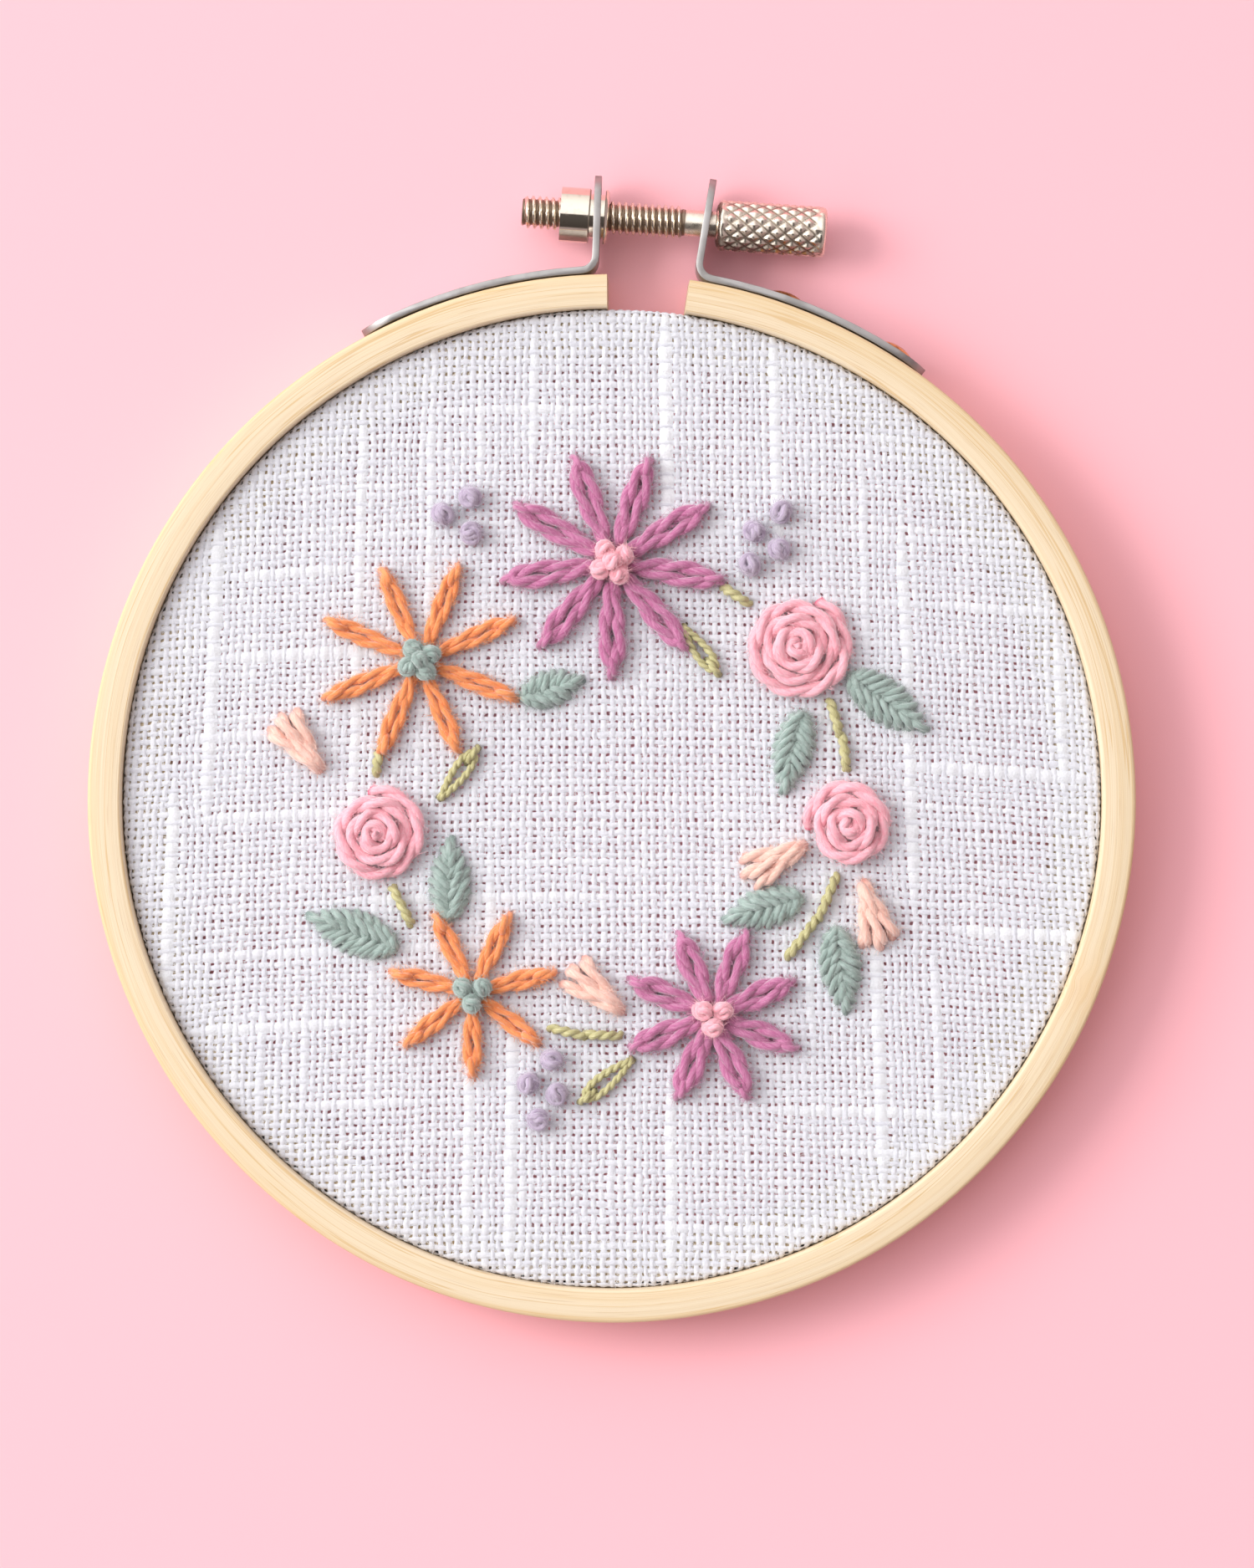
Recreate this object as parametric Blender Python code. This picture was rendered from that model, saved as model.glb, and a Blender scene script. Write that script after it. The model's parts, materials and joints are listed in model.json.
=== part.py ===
"""Framed hoop embroidery: white linen held in a split bamboo hoop with a steel screw clasp.

The hoop lies face up on its back. +Z is the stitched face, +Y points to the clasp and the screw
runs along X. The origin is under the middle of the whole piece. Lengths below are in millimetres
and are turned into metres by MM. A clock angle is counted from +Y towards +X.
"""

from math import cos, pi, radians, sin, sqrt

import bmesh
import bpy
from mathutils import Matrix, Vector

MM = 0.001
GAP = 0.3  # running gap between any two pieces

# Hoop rings
RING_OUTER_R = 55.0
RING_WALL = 3.4
OUTER_HEIGHT = 8.0
OUTER_EDGE = 0.8  # rounding of the outer ring's long edges
INNER_HEIGHT = 5.7
INNER_EDGE = 0.5
SPLIT_HALF = radians(4.4)  # half of the outer ring's opening under the screw
RING_STEPS = 72

# Cloth
CLOTH_THICK = 1.0
CLOTH_TOP = INNER_HEIGHT + GAP + CLOTH_THICK
CLOTH_ROLL = 0.7  # rounding where the cloth turns over the inner ring
CLOTH_HEM = 0.4  # height of the trimmed edge above the hoop's back

OUTER_INNER_R = RING_OUTER_R - RING_WALL
SKIRT_OUTER_R = OUTER_INNER_R - GAP
SKIRT_INNER_R = SKIRT_OUTER_R - CLOTH_THICK
INNER_OUTER_R = SKIRT_INNER_R - GAP
INNER_INNER_R = INNER_OUTER_R - RING_WALL

# Clasp plates: strip bent along the ring, then up into an ear
PLATE_THICK = 0.75
PLATE_HALF_WIDTH = 3.5
PLATE_Z = OUTER_HEIGHT / 2
PLATE_TIP = radians(32.2)
PLATE_BEND = 1.2  # inside radius of the bend between strip and ear
PLATE_MID_R = RING_OUTER_R + GAP + PLATE_THICK / 2
END_ANGLES = (20, 42, 66, 90)  # degrees round each half-round strip end
TIP_STEPS = 8
BEND_STEPS = 5
#        side  ear_x  lean_deg  ear_top
PLATES = {
    "clasp_plate_left": (-1, 5.86, 2.0, 65.5),
    "clasp_plate_right": (1, 5.68, 5.5, 66.0),
}
EAR_TOP = max(row[3] for row in PLATES.values())
HOOP_Y = -(EAR_TOP - RING_OUTER_R) / 2  # puts the origin under the middle of the piece

# Thumb screw, along X at the height of the plates' middle
SCREW_Y = 61.3
SCREW_START = -13.8
THREAD_END = 3.6
THREAD_PITCH = 0.7
THREAD_CREST_R = 1.75
THREAD_ROOT_R = 1.38
NECK_R = 1.4
KNOB_START = 6.75
KNOB_END = 18.4
KNOB_R = 2.7
KNOB_DIAMOND = 0.2  # height of the knurled points
KNOB_ROWS = 14
SCREW_SIDES = 16

# Thread bush in the left ear
BUSH_R = 2.9
BUSH_BORE_R = THREAD_CREST_R + GAP
BUSH_NECK_R = 2.35
BUSH_START = -9.74
BUSH_SHOULDER = -6.69
BUSH_FLANGE = -5.03
BUSH_END = -4.58
BUSH_CHAMFER = 0.25
EAR_HOLES = {
    "clasp_plate_left": BUSH_NECK_R + GAP,
    "clasp_plate_right": THREAD_CREST_R + GAP,
}

# Rivets through the plates into the outer ring
RIVET_CLOCKS = {"near": radians(14.8), "far": radians(28.2)}
RIVET_HEAD_R = 1.75
RIVET_SHANK_R = 0.75
RIVET_DEPTH = 2.0
RIVET_SIDES = 10
HOLE_SIDES = 16

# Stitched wreath: laid out upright in its own clock angles, turned a little in the hoop
ART_TURN = radians(-4.0)
VINE_R = 25.0
STITCH_BASE = CLOTH_TOP + GAP
VINE_HALF_WIDTH = 0.7
VINE_HEIGHT = 0.9
VINE_STEP = radians(3.5)
#             start  end, degrees of the clock
VINE_ARCS = ((28, 35), (66, 83), (109, 132), (178, 195), (238, 248), (276, 281))
#         name         clock radius reach inner petals height
FLOWERS = (
    ("plum_flower_1", 0, 25.0, 11.5, 3.6, 9, 1.8),
    ("plum_flower_2", 155, 25.0, 9.0, 3.0, 8, 1.7),
    ("orange_star_1", 306, 25.0, 10.4, 2.1, 8, 1.6),
    ("orange_star_2", 216, 25.0, 8.6, 2.0, 7, 1.6),
)
#       name          clock radius reach
ROSES = (
    ("pink_rose_1", 50, 25.4, 6.0),
    ("pink_rose_2", 96, 25.0, 5.0),
    ("pink_rose_3", 262, 25.0, 5.4),
)
ROSE_HEIGHT = 2.2
#        name           clock radius turn length half_width
LEAVES = (
    ("sage_leaf_1", 71, 30.8, 38, 9.6, 2.0),
    ("sage_leaf_2", 76, 19.6, 150, 8.4, 1.8),
    ("sage_leaf_3", 127, 30.2, 42, 8.6, 1.9),
    ("sage_leaf_4", 126.5, 19.6, 146, 8.2, 1.8),
    ("sage_leaf_5", 243, 30.8, 40, 9.6, 2.0),
    ("sage_leaf_6", 244, 19.0, 150, 8.2, 1.8),
    ("sage_leaf_7", 332, 13.2, 165, 6.4, 1.6),
    ("olive_leaf_1", 181, 29.6, 38, 6.8, 1.3),
    ("olive_leaf_2", 279, 16.4, 150, 6.4, 1.2),
    ("olive_leaf_3", 30.5, 18.2, 160, 6.0, 1.2),
    ("peach_bud_1", 110.8, 18.3, 142, 6.6, 2.0),
    ("peach_bud_2", 114, 30.0, 36, 6.6, 2.0),
    ("peach_bud_3", 185, 20.2, 150, 6.6, 2.0),
    ("peach_bud_4", 280, 33.4, 44, 6.6, 2.0),
)
LEAF_HEIGHT = 1.2
LEAF_SECTIONS = (0.0, 0.18, 0.42, 0.7, 0.9, 1.0)
#        name            clock radius
KNOTS = (
    ("lavender_knot_1", 30.5, 28.6),
    ("lavender_knot_2", 28.0, 31.8),
    ("lavender_knot_3", 33.8, 31.6),
    ("lavender_knot_4", 30.6, 35.0),
    ("lavender_knot_5", 193.0, 28.2),
    ("lavender_knot_6", 190.6, 31.6),
    ("lavender_knot_7", 196.4, 31.2),
    ("lavender_knot_8", 193.0, 34.6),
    ("lavender_knot_9", 332.0, 31.6),
    ("lavender_knot_10", 329.2, 34.8),
    ("lavender_knot_11", 334.8, 35.0),
)
KNOT_R = 1.45
KNOT_HEIGHT = 1.6

MATERIALS = {
    #            red   green blue  rough metal
    "bamboo": (0.97, 0.76, 0.47, 0.55, 0.0),
    "linen": (0.86, 0.86, 0.90, 0.90, 0.0),
    "steel": (0.40, 0.39, 0.38, 0.35, 1.0),
    "nickel": (0.62, 0.58, 0.53, 0.22, 1.0),
    "brass": (0.58, 0.32, 0.08, 0.30, 1.0),
    "olive_thread": (0.35, 0.32, 0.13, 0.80, 0.0),
    "plum_thread": (0.51, 0.14, 0.33, 0.90, 0.0),
    "pink_thread": (0.95, 0.38, 0.42, 0.90, 0.0),
    "orange_thread": (0.94, 0.28, 0.08, 0.90, 0.0),
    "sage_thread": (0.38, 0.55, 0.48, 0.90, 0.0),
    "peach_thread": (0.95, 0.50, 0.40, 0.90, 0.0),
    "lavender_thread": (0.54, 0.44, 0.62, 0.90, 0.0),
}


def clear_scene():
    """Remove whatever the opened file holds."""
    for old in list(bpy.data.objects):
        bpy.data.objects.remove(old, do_unlink=True)


def make_materials():
    """One Principled material for each finish of the table."""
    made = {}
    for name, (red, green, blue, rough, metal) in MATERIALS.items():
        material = bpy.data.materials.new(name)
        material.use_nodes = True
        shader = material.node_tree.nodes["Principled BSDF"]
        shader.inputs["Base Color"].default_value = (red, green, blue, 1.0)
        shader.inputs["Roughness"].default_value = rough
        shader.inputs["Metallic"].default_value = metal
        made[name] = material
    return made


def at_clock(radius, clock, z):
    """Point at a radius and clock angle from the hoop's centre, in millimetres."""
    return Vector((radius * sin(clock), HOOP_Y + radius * cos(clock), z))


def add_object(name, bm, finish, centre=Vector((0, 0, 0))):
    """Turn a bmesh in millimetres into an object in metres with its origin at centre."""
    bmesh.ops.recalc_face_normals(bm, faces=bm.faces)
    bmesh.ops.translate(bm, verts=bm.verts, vec=-centre)
    bmesh.ops.scale(bm, verts=bm.verts, vec=Vector((MM, MM, MM)))
    mesh = bpy.data.meshes.new(name)
    bm.to_mesh(mesh)
    bm.free()
    mesh.shade_smooth()
    mesh.set_sharp_from_angle(angle=radians(35))
    mesh.materials.append(finish)
    piece = bpy.data.objects.new(name, mesh)
    piece.location = centre * MM
    bpy.context.collection.objects.link(piece)
    return piece


def skin_loops(loops, closed=False):
    """Closed solid skinned over loops of equal length; closed joins the last loop to the first."""
    bm = bmesh.new()
    rows = [[bm.verts.new(point) for point in loop] for loop in loops]
    pairs = list(zip(rows, rows[1:]))
    if closed:
        pairs.append((rows[-1], rows[0]))
    else:
        bm.faces.new(rows[0])
        bm.faces.new(rows[-1])
    for first, second in pairs:
        for k, corner in enumerate(first):
            bm.faces.new((corner, first[k - 1], second[k - 1], second[k]))
    return bm


def ring_section(inner_r, outer_r, height, edge):
    """Rectangle with bevelled corners, as radius and height pairs."""
    return (
        (inner_r + edge, 0.0),
        (outer_r - edge, 0.0),
        (outer_r, edge),
        (outer_r, height - edge),
        (outer_r - edge, height),
        (inner_r + edge, height),
        (inner_r, height - edge),
        (inner_r, edge),
    )


def sweep_section(section, start, sweep, steps, closed):
    """Carry a section round the hoop's centre and skin it."""
    count = steps if closed else steps + 1
    clocks = [start + sweep * k / steps for k in range(count)]
    loops = [[at_clock(radius, clock, z) for radius, z in section] for clock in clocks]
    return skin_loops(loops, closed)


def drill(piece, name, holes):
    """Cut round holes, each a start point, a direction, a length and a radius."""
    bm = bmesh.new()
    for start, direction, length, radius in holes:
        turn = direction.to_track_quat("Z", "Y").to_matrix().to_4x4()
        place = Matrix.Translation(start + direction * length / 2) @ turn
        bmesh.ops.create_cone(
            bm,
            cap_ends=True,
            segments=HOLE_SIDES,
            radius1=radius,
            radius2=radius,
            depth=length,
            matrix=place,
        )
    cutter = add_object(name, bm, piece.data.materials[0])
    cutter.hide_render = True
    cutter.display_type = "WIRE"
    cut = piece.modifiers.new(name, "BOOLEAN")
    cut.operation = "DIFFERENCE"
    cut.object = cutter


def rivet_holes(sides, reach):
    """Holes for the rivets on the given sides of the clasp, from outside the plates inwards."""
    holes = []
    for side in sides:
        for clock in RIVET_CLOCKS.values():
            outward = Vector((sin(side * clock), cos(side * clock), 0))
            start = at_clock(RING_OUTER_R - RIVET_DEPTH - GAP, side * clock, PLATE_Z)
            holes.append((start, outward, reach, RIVET_SHANK_R + GAP))
    return holes


def build_outer_ring(finish):
    """Split outer ring with blind holes for the rivets."""
    section = ring_section(OUTER_INNER_R, RING_OUTER_R, OUTER_HEIGHT, OUTER_EDGE)
    bm = sweep_section(section, SPLIT_HALF, 2 * pi - 2 * SPLIT_HALF, RING_STEPS, False)
    ring = add_object("outer_ring", bm, finish, at_clock(0, 0, 0))
    drill(ring, "outer_ring_holes", rivet_holes((-1, 1), 2 * RIVET_DEPTH + GAP))


def build_inner_ring(finish):
    """Closed inner ring that the cloth is drawn over."""
    section = ring_section(INNER_INNER_R, INNER_OUTER_R, INNER_HEIGHT, INNER_EDGE)
    bm = sweep_section(section, 0.0, 2 * pi, RING_STEPS, True)
    add_object("inner_ring", bm, finish, at_clock(0, 0, 0))


def build_cloth(finish):
    """Cloth stretched flat over the inner ring, rolled over its edge and trimmed behind."""
    below = CLOTH_TOP - CLOTH_THICK
    profile = (
        (SKIRT_INNER_R, below),
        (SKIRT_INNER_R, CLOTH_HEM),
        (SKIRT_OUTER_R, CLOTH_HEM),
        (SKIRT_OUTER_R, CLOTH_TOP - CLOTH_ROLL),
        (SKIRT_OUTER_R - 0.3 * CLOTH_ROLL, CLOTH_TOP - 0.3 * CLOTH_ROLL),
        (SKIRT_OUTER_R - CLOTH_ROLL, CLOTH_TOP),
    )
    clocks = [2 * pi * k / RING_STEPS for k in range(RING_STEPS)]
    loops = [[at_clock(radius, clock, z) for clock in clocks] for radius, z in profile]
    add_object("cloth", skin_loops(loops), finish, at_clock(0, 0, 0))


def strip_path(ear_x, lean, ear_top):
    """Middle line of a right-hand plate: along the ring, round the bend and up the ear.

    Returns rows of distance, point and tangent, with the hoop's centre at zero.
    """
    along = Vector((sin(lean), cos(lean)))
    across = Vector((cos(lean), -sin(lean)))
    bend_r = PLATE_BEND + PLATE_THICK / 2
    foot = Vector((ear_x, SCREW_Y)) + across * bend_r
    middle = foot.dot(along)
    slide = -middle + sqrt(middle**2 - foot.length_squared + (PLATE_MID_R + bend_r) ** 2)
    centre = foot + along * slide
    ring_clock = Vector((0, 1)).angle(centre)
    ear_foot = centre - across * bend_r
    top = (ear_top - PLATE_THICK / 2 * sin(lean) - ear_foot.y) / cos(lean)
    rows = []

    def add(distance, point, tangent):
        rows.append((distance, Vector(point), Vector(tangent)))

    ends = [PLATE_HALF_WIDTH * (1 - cos(radians(angle))) for angle in END_ANGLES]
    ends[0] = 0.0
    arc_length = PLATE_MID_R * (PLATE_TIP - ring_clock)
    body = [
        ends[-1] + (arc_length - ends[-1]) * k / TIP_STEPS for k in range(1, TIP_STEPS + 1)
    ]
    for distance in ends + body:
        clock = PLATE_TIP - distance / PLATE_MID_R
        point = (PLATE_MID_R * sin(clock), PLATE_MID_R * cos(clock))
        add(distance, point, (-cos(clock), sin(clock)))
    start = rows[-1][2]
    sweep = start.angle(along)
    for k in range(1, BEND_STEPS + 1):
        turn = sweep * k / BEND_STEPS
        tangent = Matrix.Rotation(-turn, 2) @ start
        normal = Vector((tangent.y, -tangent.x))
        add(arc_length + bend_r * turn, centre - normal * bend_r, tangent)
    bent = arc_length + bend_r * sweep
    for distance in reversed(ends):
        rise = top - distance
        add(bent + rise, ear_foot + along * rise, along)
    return rows, bent + top


def strip_half_width(distance, length):
    """Half the strip's width, which falls to a half round at either end."""
    near_end = min(distance, length - distance)
    inside = max(PLATE_HALF_WIDTH - near_end, 0.0)
    least = PLATE_HALF_WIDTH * sin(radians(END_ANGLES[0]))
    return max(sqrt(PLATE_HALF_WIDTH**2 - inside**2), least)


def build_plate(name, finish):
    """Bent steel strip with its ear, its screw hole and two rivet holes."""
    side, ear_x, lean_deg, ear_top = PLATES[name]
    rows, length = strip_path(ear_x, radians(lean_deg), ear_top)
    loops = []
    for distance, point, tangent in rows:
        normal = Vector((tangent.y, -tangent.x)) * PLATE_THICK / 2
        half = strip_half_width(distance, length)
        corners = ((point - normal, -half), (point + normal, -half))
        corners += ((point + normal, half), (point - normal, half))
        loops.append([Vector((side * p.x, HOOP_Y + p.y, PLATE_Z + z)) for p, z in corners])
    plate = add_object(name, skin_loops(loops), finish)
    reach = 3 * PLATE_THICK
    ear_start = Vector((side * ear_x - reach, HOOP_Y + SCREW_Y, PLATE_Z))
    holes = [(ear_start, Vector((1, 0, 0)), 2 * reach, EAR_HOLES[name])]
    holes += rivet_holes((side,), 2 * RIVET_DEPTH + 2 * GAP)
    drill(plate, name + "_holes", holes)


def round_loop(x, radii):
    """Loop round the screw's axis at x, with the given radii in turn."""
    loop = []
    for k in range(SCREW_SIDES):
        angle = 2 * pi * k / SCREW_SIDES
        radius = radii[k % len(radii)]
        loop.append((x, HOOP_Y + SCREW_Y + radius * cos(angle), PLATE_Z + radius * sin(angle)))
    return loop


def build_screw(finish):
    """Thumb screw turned from one rod: ringed thread, neck and knurled knob."""
    stations = [(SCREW_START, (THREAD_ROOT_R,))]
    half_pitches = int((THREAD_END - SCREW_START) / (THREAD_PITCH / 2))
    for k in range(1, half_pitches):
        radius = THREAD_CREST_R if k % 2 else THREAD_ROOT_R
        stations.append((SCREW_START + k * THREAD_PITCH / 2, (radius,)))
    stations.append((THREAD_END, (NECK_R,)))
    stations.append((KNOB_START, (NECK_R,)))
    stations.append((KNOB_START, (KNOB_R - 0.7,)))
    stations.append((KNOB_START + 0.5, (KNOB_R - 0.1,)))
    knurl_start = KNOB_START + 0.8
    knurl_end = KNOB_END - 0.6
    high, low = KNOB_R, KNOB_R - KNOB_DIAMOND
    for k in range(KNOB_ROWS + 1):
        radii = (high, low) if k % 2 else (low, high)
        stations.append((knurl_start + (knurl_end - knurl_start) * k / KNOB_ROWS, radii))
    stations.append((KNOB_END - 0.3, (KNOB_R - 0.05,)))
    stations.append((KNOB_END, (KNOB_R - 0.35,)))
    axis = Vector((0, HOOP_Y + SCREW_Y, PLATE_Z))
    loops = [round_loop(x, radii) for x, radii in stations]
    add_object("thumb_screw", skin_loops(loops), finish, axis)


def build_bush(finish):
    """Thread bush swaged through the left ear: body, neck in the hole and thin flange."""
    section = (
        (BUSH_START, BUSH_BORE_R),
        (BUSH_START, BUSH_R - BUSH_CHAMFER),
        (BUSH_START + BUSH_CHAMFER, BUSH_R),
        (BUSH_SHOULDER, BUSH_R),
        (BUSH_SHOULDER, BUSH_NECK_R),
        (BUSH_FLANGE, BUSH_NECK_R),
        (BUSH_FLANGE, BUSH_R),
        (BUSH_END, BUSH_R - BUSH_CHAMFER),
        (BUSH_END, BUSH_BORE_R),
    )
    loops = [round_loop(x, (radius,)) for x, radius in section]
    axis = Vector((0, HOOP_Y + SCREW_Y, PLATE_Z))
    add_object("thread_bush", skin_loops(loops, closed=True), finish, axis)


def build_rivet(name, clock, finish):
    """Domed rivet whose shank passes the plate into the ring."""
    seat = PLATE_MID_R + PLATE_THICK / 2 + GAP
    stations = (
        (RING_OUTER_R - RIVET_DEPTH, RIVET_SHANK_R),
        (seat, RIVET_SHANK_R),
        (seat, RIVET_HEAD_R),
        (seat + 0.2, RIVET_HEAD_R - 0.15),
        (seat + 0.45, RIVET_HEAD_R - 0.75),
        (seat + 0.55, RIVET_HEAD_R - 1.3),
    )
    sideways = Vector((cos(clock), -sin(clock), 0))
    loops = []
    for distance, radius in stations:
        centre = at_clock(distance, clock, PLATE_Z)
        turns = [2 * pi * k / RIVET_SIDES for k in range(RIVET_SIDES)]
        loops.append(
            [centre + sideways * radius * cos(t) + Vector((0, 0, radius * sin(t))) for t in turns]
        )
    add_object(name, skin_loops(loops), finish, at_clock(seat, clock, PLATE_Z))


def art_point(radius, clock, z=STITCH_BASE):
    """Point of the wreath, whose clock is turned a little in the hoop."""
    return at_clock(radius, clock + ART_TURN, z)


def build_vine_arc(name, start, end, finish):
    """Stretch of the stitched vine, half round and laid on the cloth."""
    steps = max(2, round((end - start) / VINE_STEP))
    section = ((-1, 0), (1, 0), (0.8, 0.55), (0, 1), (-0.8, 0.55))
    loops = []
    for k in range(steps + 1):
        clock = start + (end - start) * k / steps
        lift = 0.6 if k in (0, steps) else 1.0
        loops.append(
            [
                art_point(
                    VINE_R + VINE_HALF_WIDTH * across * lift,
                    clock,
                    STITCH_BASE + VINE_HEIGHT * up * lift,
                )
                for across, up in section
            ]
        )
    add_object(name, skin_loops(loops), finish, art_point(VINE_R, (start + end) / 2))


def petal_loop(centre, share, rise, reach, inner, petals):
    """Outline of a petalled flower at a share of its size, at a height above the cloth."""
    shape = (inner, 0.5 * (inner + reach), reach, 0.5 * (inner + reach))
    bend = (0.0, 0.27, 0.5, 0.73)  # where the points lie across one petal
    ridge = (0.45, 0.9, 1.0, 0.9)
    loop = []
    for petal in range(petals):
        for radius, across, height in zip(shape, bend, ridge):
            angle = ART_TURN + 2 * pi * (petal + across) / petals
            offset = Vector((sin(angle), cos(angle), 0)) * radius * share
            loop.append(centre + offset + Vector((0, 0, rise * height)))
    return loop


def build_flower(row, finish, eye_finish):
    """Petalled flower as one low solid, with its knotted eye seated on the middle."""
    name, clock, radius, reach, inner, petals, height = row
    centre = art_point(radius, radians(clock))
    levels = ((1.0, 0.0), (0.97, 0.35), (0.75, 0.9), (0.4, 0.95), (0.2, 0.7))
    loops = [
        petal_loop(centre, share, height * rise, reach, inner, petals) for share, rise in levels
    ]
    flat = height * levels[-1][1] * 0.5
    loops[-1] = [Vector((p.x, p.y, centre.z + flat)) for p in loops[-1]]
    add_object(name, skin_loops(loops), finish, centre)
    eye = name.replace("flower", "eye").replace("star", "eye")
    eye_centre = centre + Vector((0, 0, height + GAP))
    build_dome(eye, eye_centre, 0.26 * reach, 0.9, eye_finish, lobes=3)


def build_dome(name, centre, reach, height, finish, lobes=5):
    """Low dome with soft lobes round it, flat where it rests."""
    sides = 4 * lobes
    levels = ((0.9, 0.0), (1.0, 0.3), (0.82, 0.75), (0.5, 1.0), (0.16, 0.92))
    loops = []
    for share, rise in levels:
        loop = []
        for k in range(sides):
            angle = 2 * pi * k / sides
            wave = 1 + 0.06 * cos(lobes * angle + 3 * share) * share
            offset = Vector((sin(angle), cos(angle), 0)) * reach * share * wave
            loop.append(centre + offset + Vector((0, 0, height * rise)))
        loops.append(loop)
    add_object(name, skin_loops(loops), finish, centre)


def build_leaf(row, finish):
    """Pointed leaf or bud with a raised middle, laid beside the vine."""
    name, clock, radius, turn, length, half_width = row
    centre = art_point(radius, radians(clock))
    heading = radians(clock) + ART_TURN + pi / 2 - radians(turn)
    along = Vector((sin(heading), cos(heading), 0))
    across = Vector((along.y, -along.x, 0))
    section = ((-1, 0), (1, 0), (0.75, 0.6), (0, 1), (-0.75, 0.6))
    loops = []
    for share in LEAF_SECTIONS:
        half = half_width * max(sin(pi * share**0.8), 0.12)
        height = LEAF_HEIGHT * (0.45 + 0.55 * sin(pi * share))
        base = centre + along * length * (share - 0.5)
        loops.append(
            [base + across * half * side + Vector((0, 0, height * up)) for side, up in section]
        )
    add_object(name, skin_loops(loops), finish, centre)


def build_knot(row, finish):
    """Wound knot as a squashed ball resting on the cloth."""
    name, clock, radius = row
    centre = art_point(radius, radians(clock), STITCH_BASE + KNOT_HEIGHT / 2)
    bm = bmesh.new()
    bmesh.ops.create_uvsphere(bm, u_segments=8, v_segments=5, radius=KNOT_R)
    bmesh.ops.scale(bm, verts=bm.verts, vec=Vector((1, 1, KNOT_HEIGHT / 2 / KNOT_R)))
    bmesh.ops.translate(bm, verts=bm.verts, vec=centre)
    add_object(name, bm, finish, centre)


def build_wreath(finishes):
    """All stitched motifs, a solid for each."""
    for k, (start, end) in enumerate(VINE_ARCS, 1):
        build_vine_arc(f"vine_{k}", radians(start), radians(end), finishes["olive_thread"])
    for row in FLOWERS:
        colour = row[0].split("_")[0]
        eye = "pink_thread" if colour == "plum" else "sage_thread"
        build_flower(row, finishes[colour + "_thread"], finishes[eye])
    for name, clock, radius, reach in ROSES:
        centre = art_point(radius, radians(clock))
        build_dome(name, centre, reach, ROSE_HEIGHT, finishes["pink_thread"])
    for row in LEAVES:
        build_leaf(row, finishes[row[0].split("_")[0] + "_thread"])
    for row in KNOTS:
        build_knot(row, finishes["lavender_thread"])


def build_clasp(finishes):
    """Plates, bush, screw and rivets of the clasp."""
    for name in PLATES:
        build_plate(name, finishes["steel"])
        side = PLATES[name][0]
        for place, clock in RIVET_CLOCKS.items():
            rivet = name.replace("clasp_plate", "rivet") + "_" + place
            build_rivet(rivet, side * clock, finishes["brass"])
    build_bush(finishes["nickel"])
    build_screw(finishes["nickel"])


def main():
    """Build the whole piece."""
    clear_scene()
    finishes = make_materials()
    build_outer_ring(finishes["bamboo"])
    build_inner_ring(finishes["bamboo"])
    build_cloth(finishes["linen"])
    build_clasp(finishes)
    build_wreath(finishes)


main()
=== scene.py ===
"""Looks of a framed hoop embroidery.

White slub linen is stretched in a bamboo hoop with a steel screw clasp and stitched with a wreath
in wool and pearl cotton. Lengths are in millimetres until a mesh is cast, when MM makes them
metres. A clock angle is counted from the clasp, +Y, towards +X.
"""

from __future__ import annotations

import json
import logging
from dataclasses import dataclass, field
from enum import Enum
from math import atan2, cos, hypot, pi, radians, sin
from typing import Callable, Mapping, Sequence

import bpy
import numpy as np
from mathutils import Matrix, Vector

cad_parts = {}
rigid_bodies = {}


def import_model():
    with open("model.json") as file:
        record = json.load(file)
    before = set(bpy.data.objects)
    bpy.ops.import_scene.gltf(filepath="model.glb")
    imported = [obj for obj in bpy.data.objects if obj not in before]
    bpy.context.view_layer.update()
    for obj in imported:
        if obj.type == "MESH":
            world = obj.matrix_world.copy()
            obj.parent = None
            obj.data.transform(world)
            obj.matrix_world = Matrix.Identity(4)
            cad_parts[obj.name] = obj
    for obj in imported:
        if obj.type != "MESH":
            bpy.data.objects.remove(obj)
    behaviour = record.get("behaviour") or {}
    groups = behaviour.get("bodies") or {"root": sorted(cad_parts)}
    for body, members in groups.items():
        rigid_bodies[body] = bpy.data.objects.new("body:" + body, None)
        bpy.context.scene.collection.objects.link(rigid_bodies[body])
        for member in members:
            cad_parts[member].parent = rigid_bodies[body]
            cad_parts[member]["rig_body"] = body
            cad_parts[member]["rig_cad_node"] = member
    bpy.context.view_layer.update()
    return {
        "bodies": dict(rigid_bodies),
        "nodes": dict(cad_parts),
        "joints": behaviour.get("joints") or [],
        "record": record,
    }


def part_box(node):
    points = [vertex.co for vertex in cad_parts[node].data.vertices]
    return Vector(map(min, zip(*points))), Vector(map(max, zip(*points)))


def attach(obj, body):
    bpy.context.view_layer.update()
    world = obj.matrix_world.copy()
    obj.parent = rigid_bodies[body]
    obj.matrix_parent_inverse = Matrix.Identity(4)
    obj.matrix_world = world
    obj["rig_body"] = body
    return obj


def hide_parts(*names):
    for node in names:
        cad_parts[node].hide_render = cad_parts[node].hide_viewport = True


MM = 0.001
SEED = 29
ART_TURN = radians(4.0)  # the picture and the weave stand turned in the hoop by this much
UP = Vector((0.0, 0.0, 1.0))

Colour = tuple[float, float, float, float]
Points = np.ndarray

log = logging.getLogger("hoop")


def paint(red: float, green: float, blue: float) -> Colour:
    """Shader colour of a screen colour given from 0 to 255."""
    return tuple(((c / 255 + 0.055) / 1.055) ** 2.4 for c in (red, green, blue)) + (1.0,)


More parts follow.
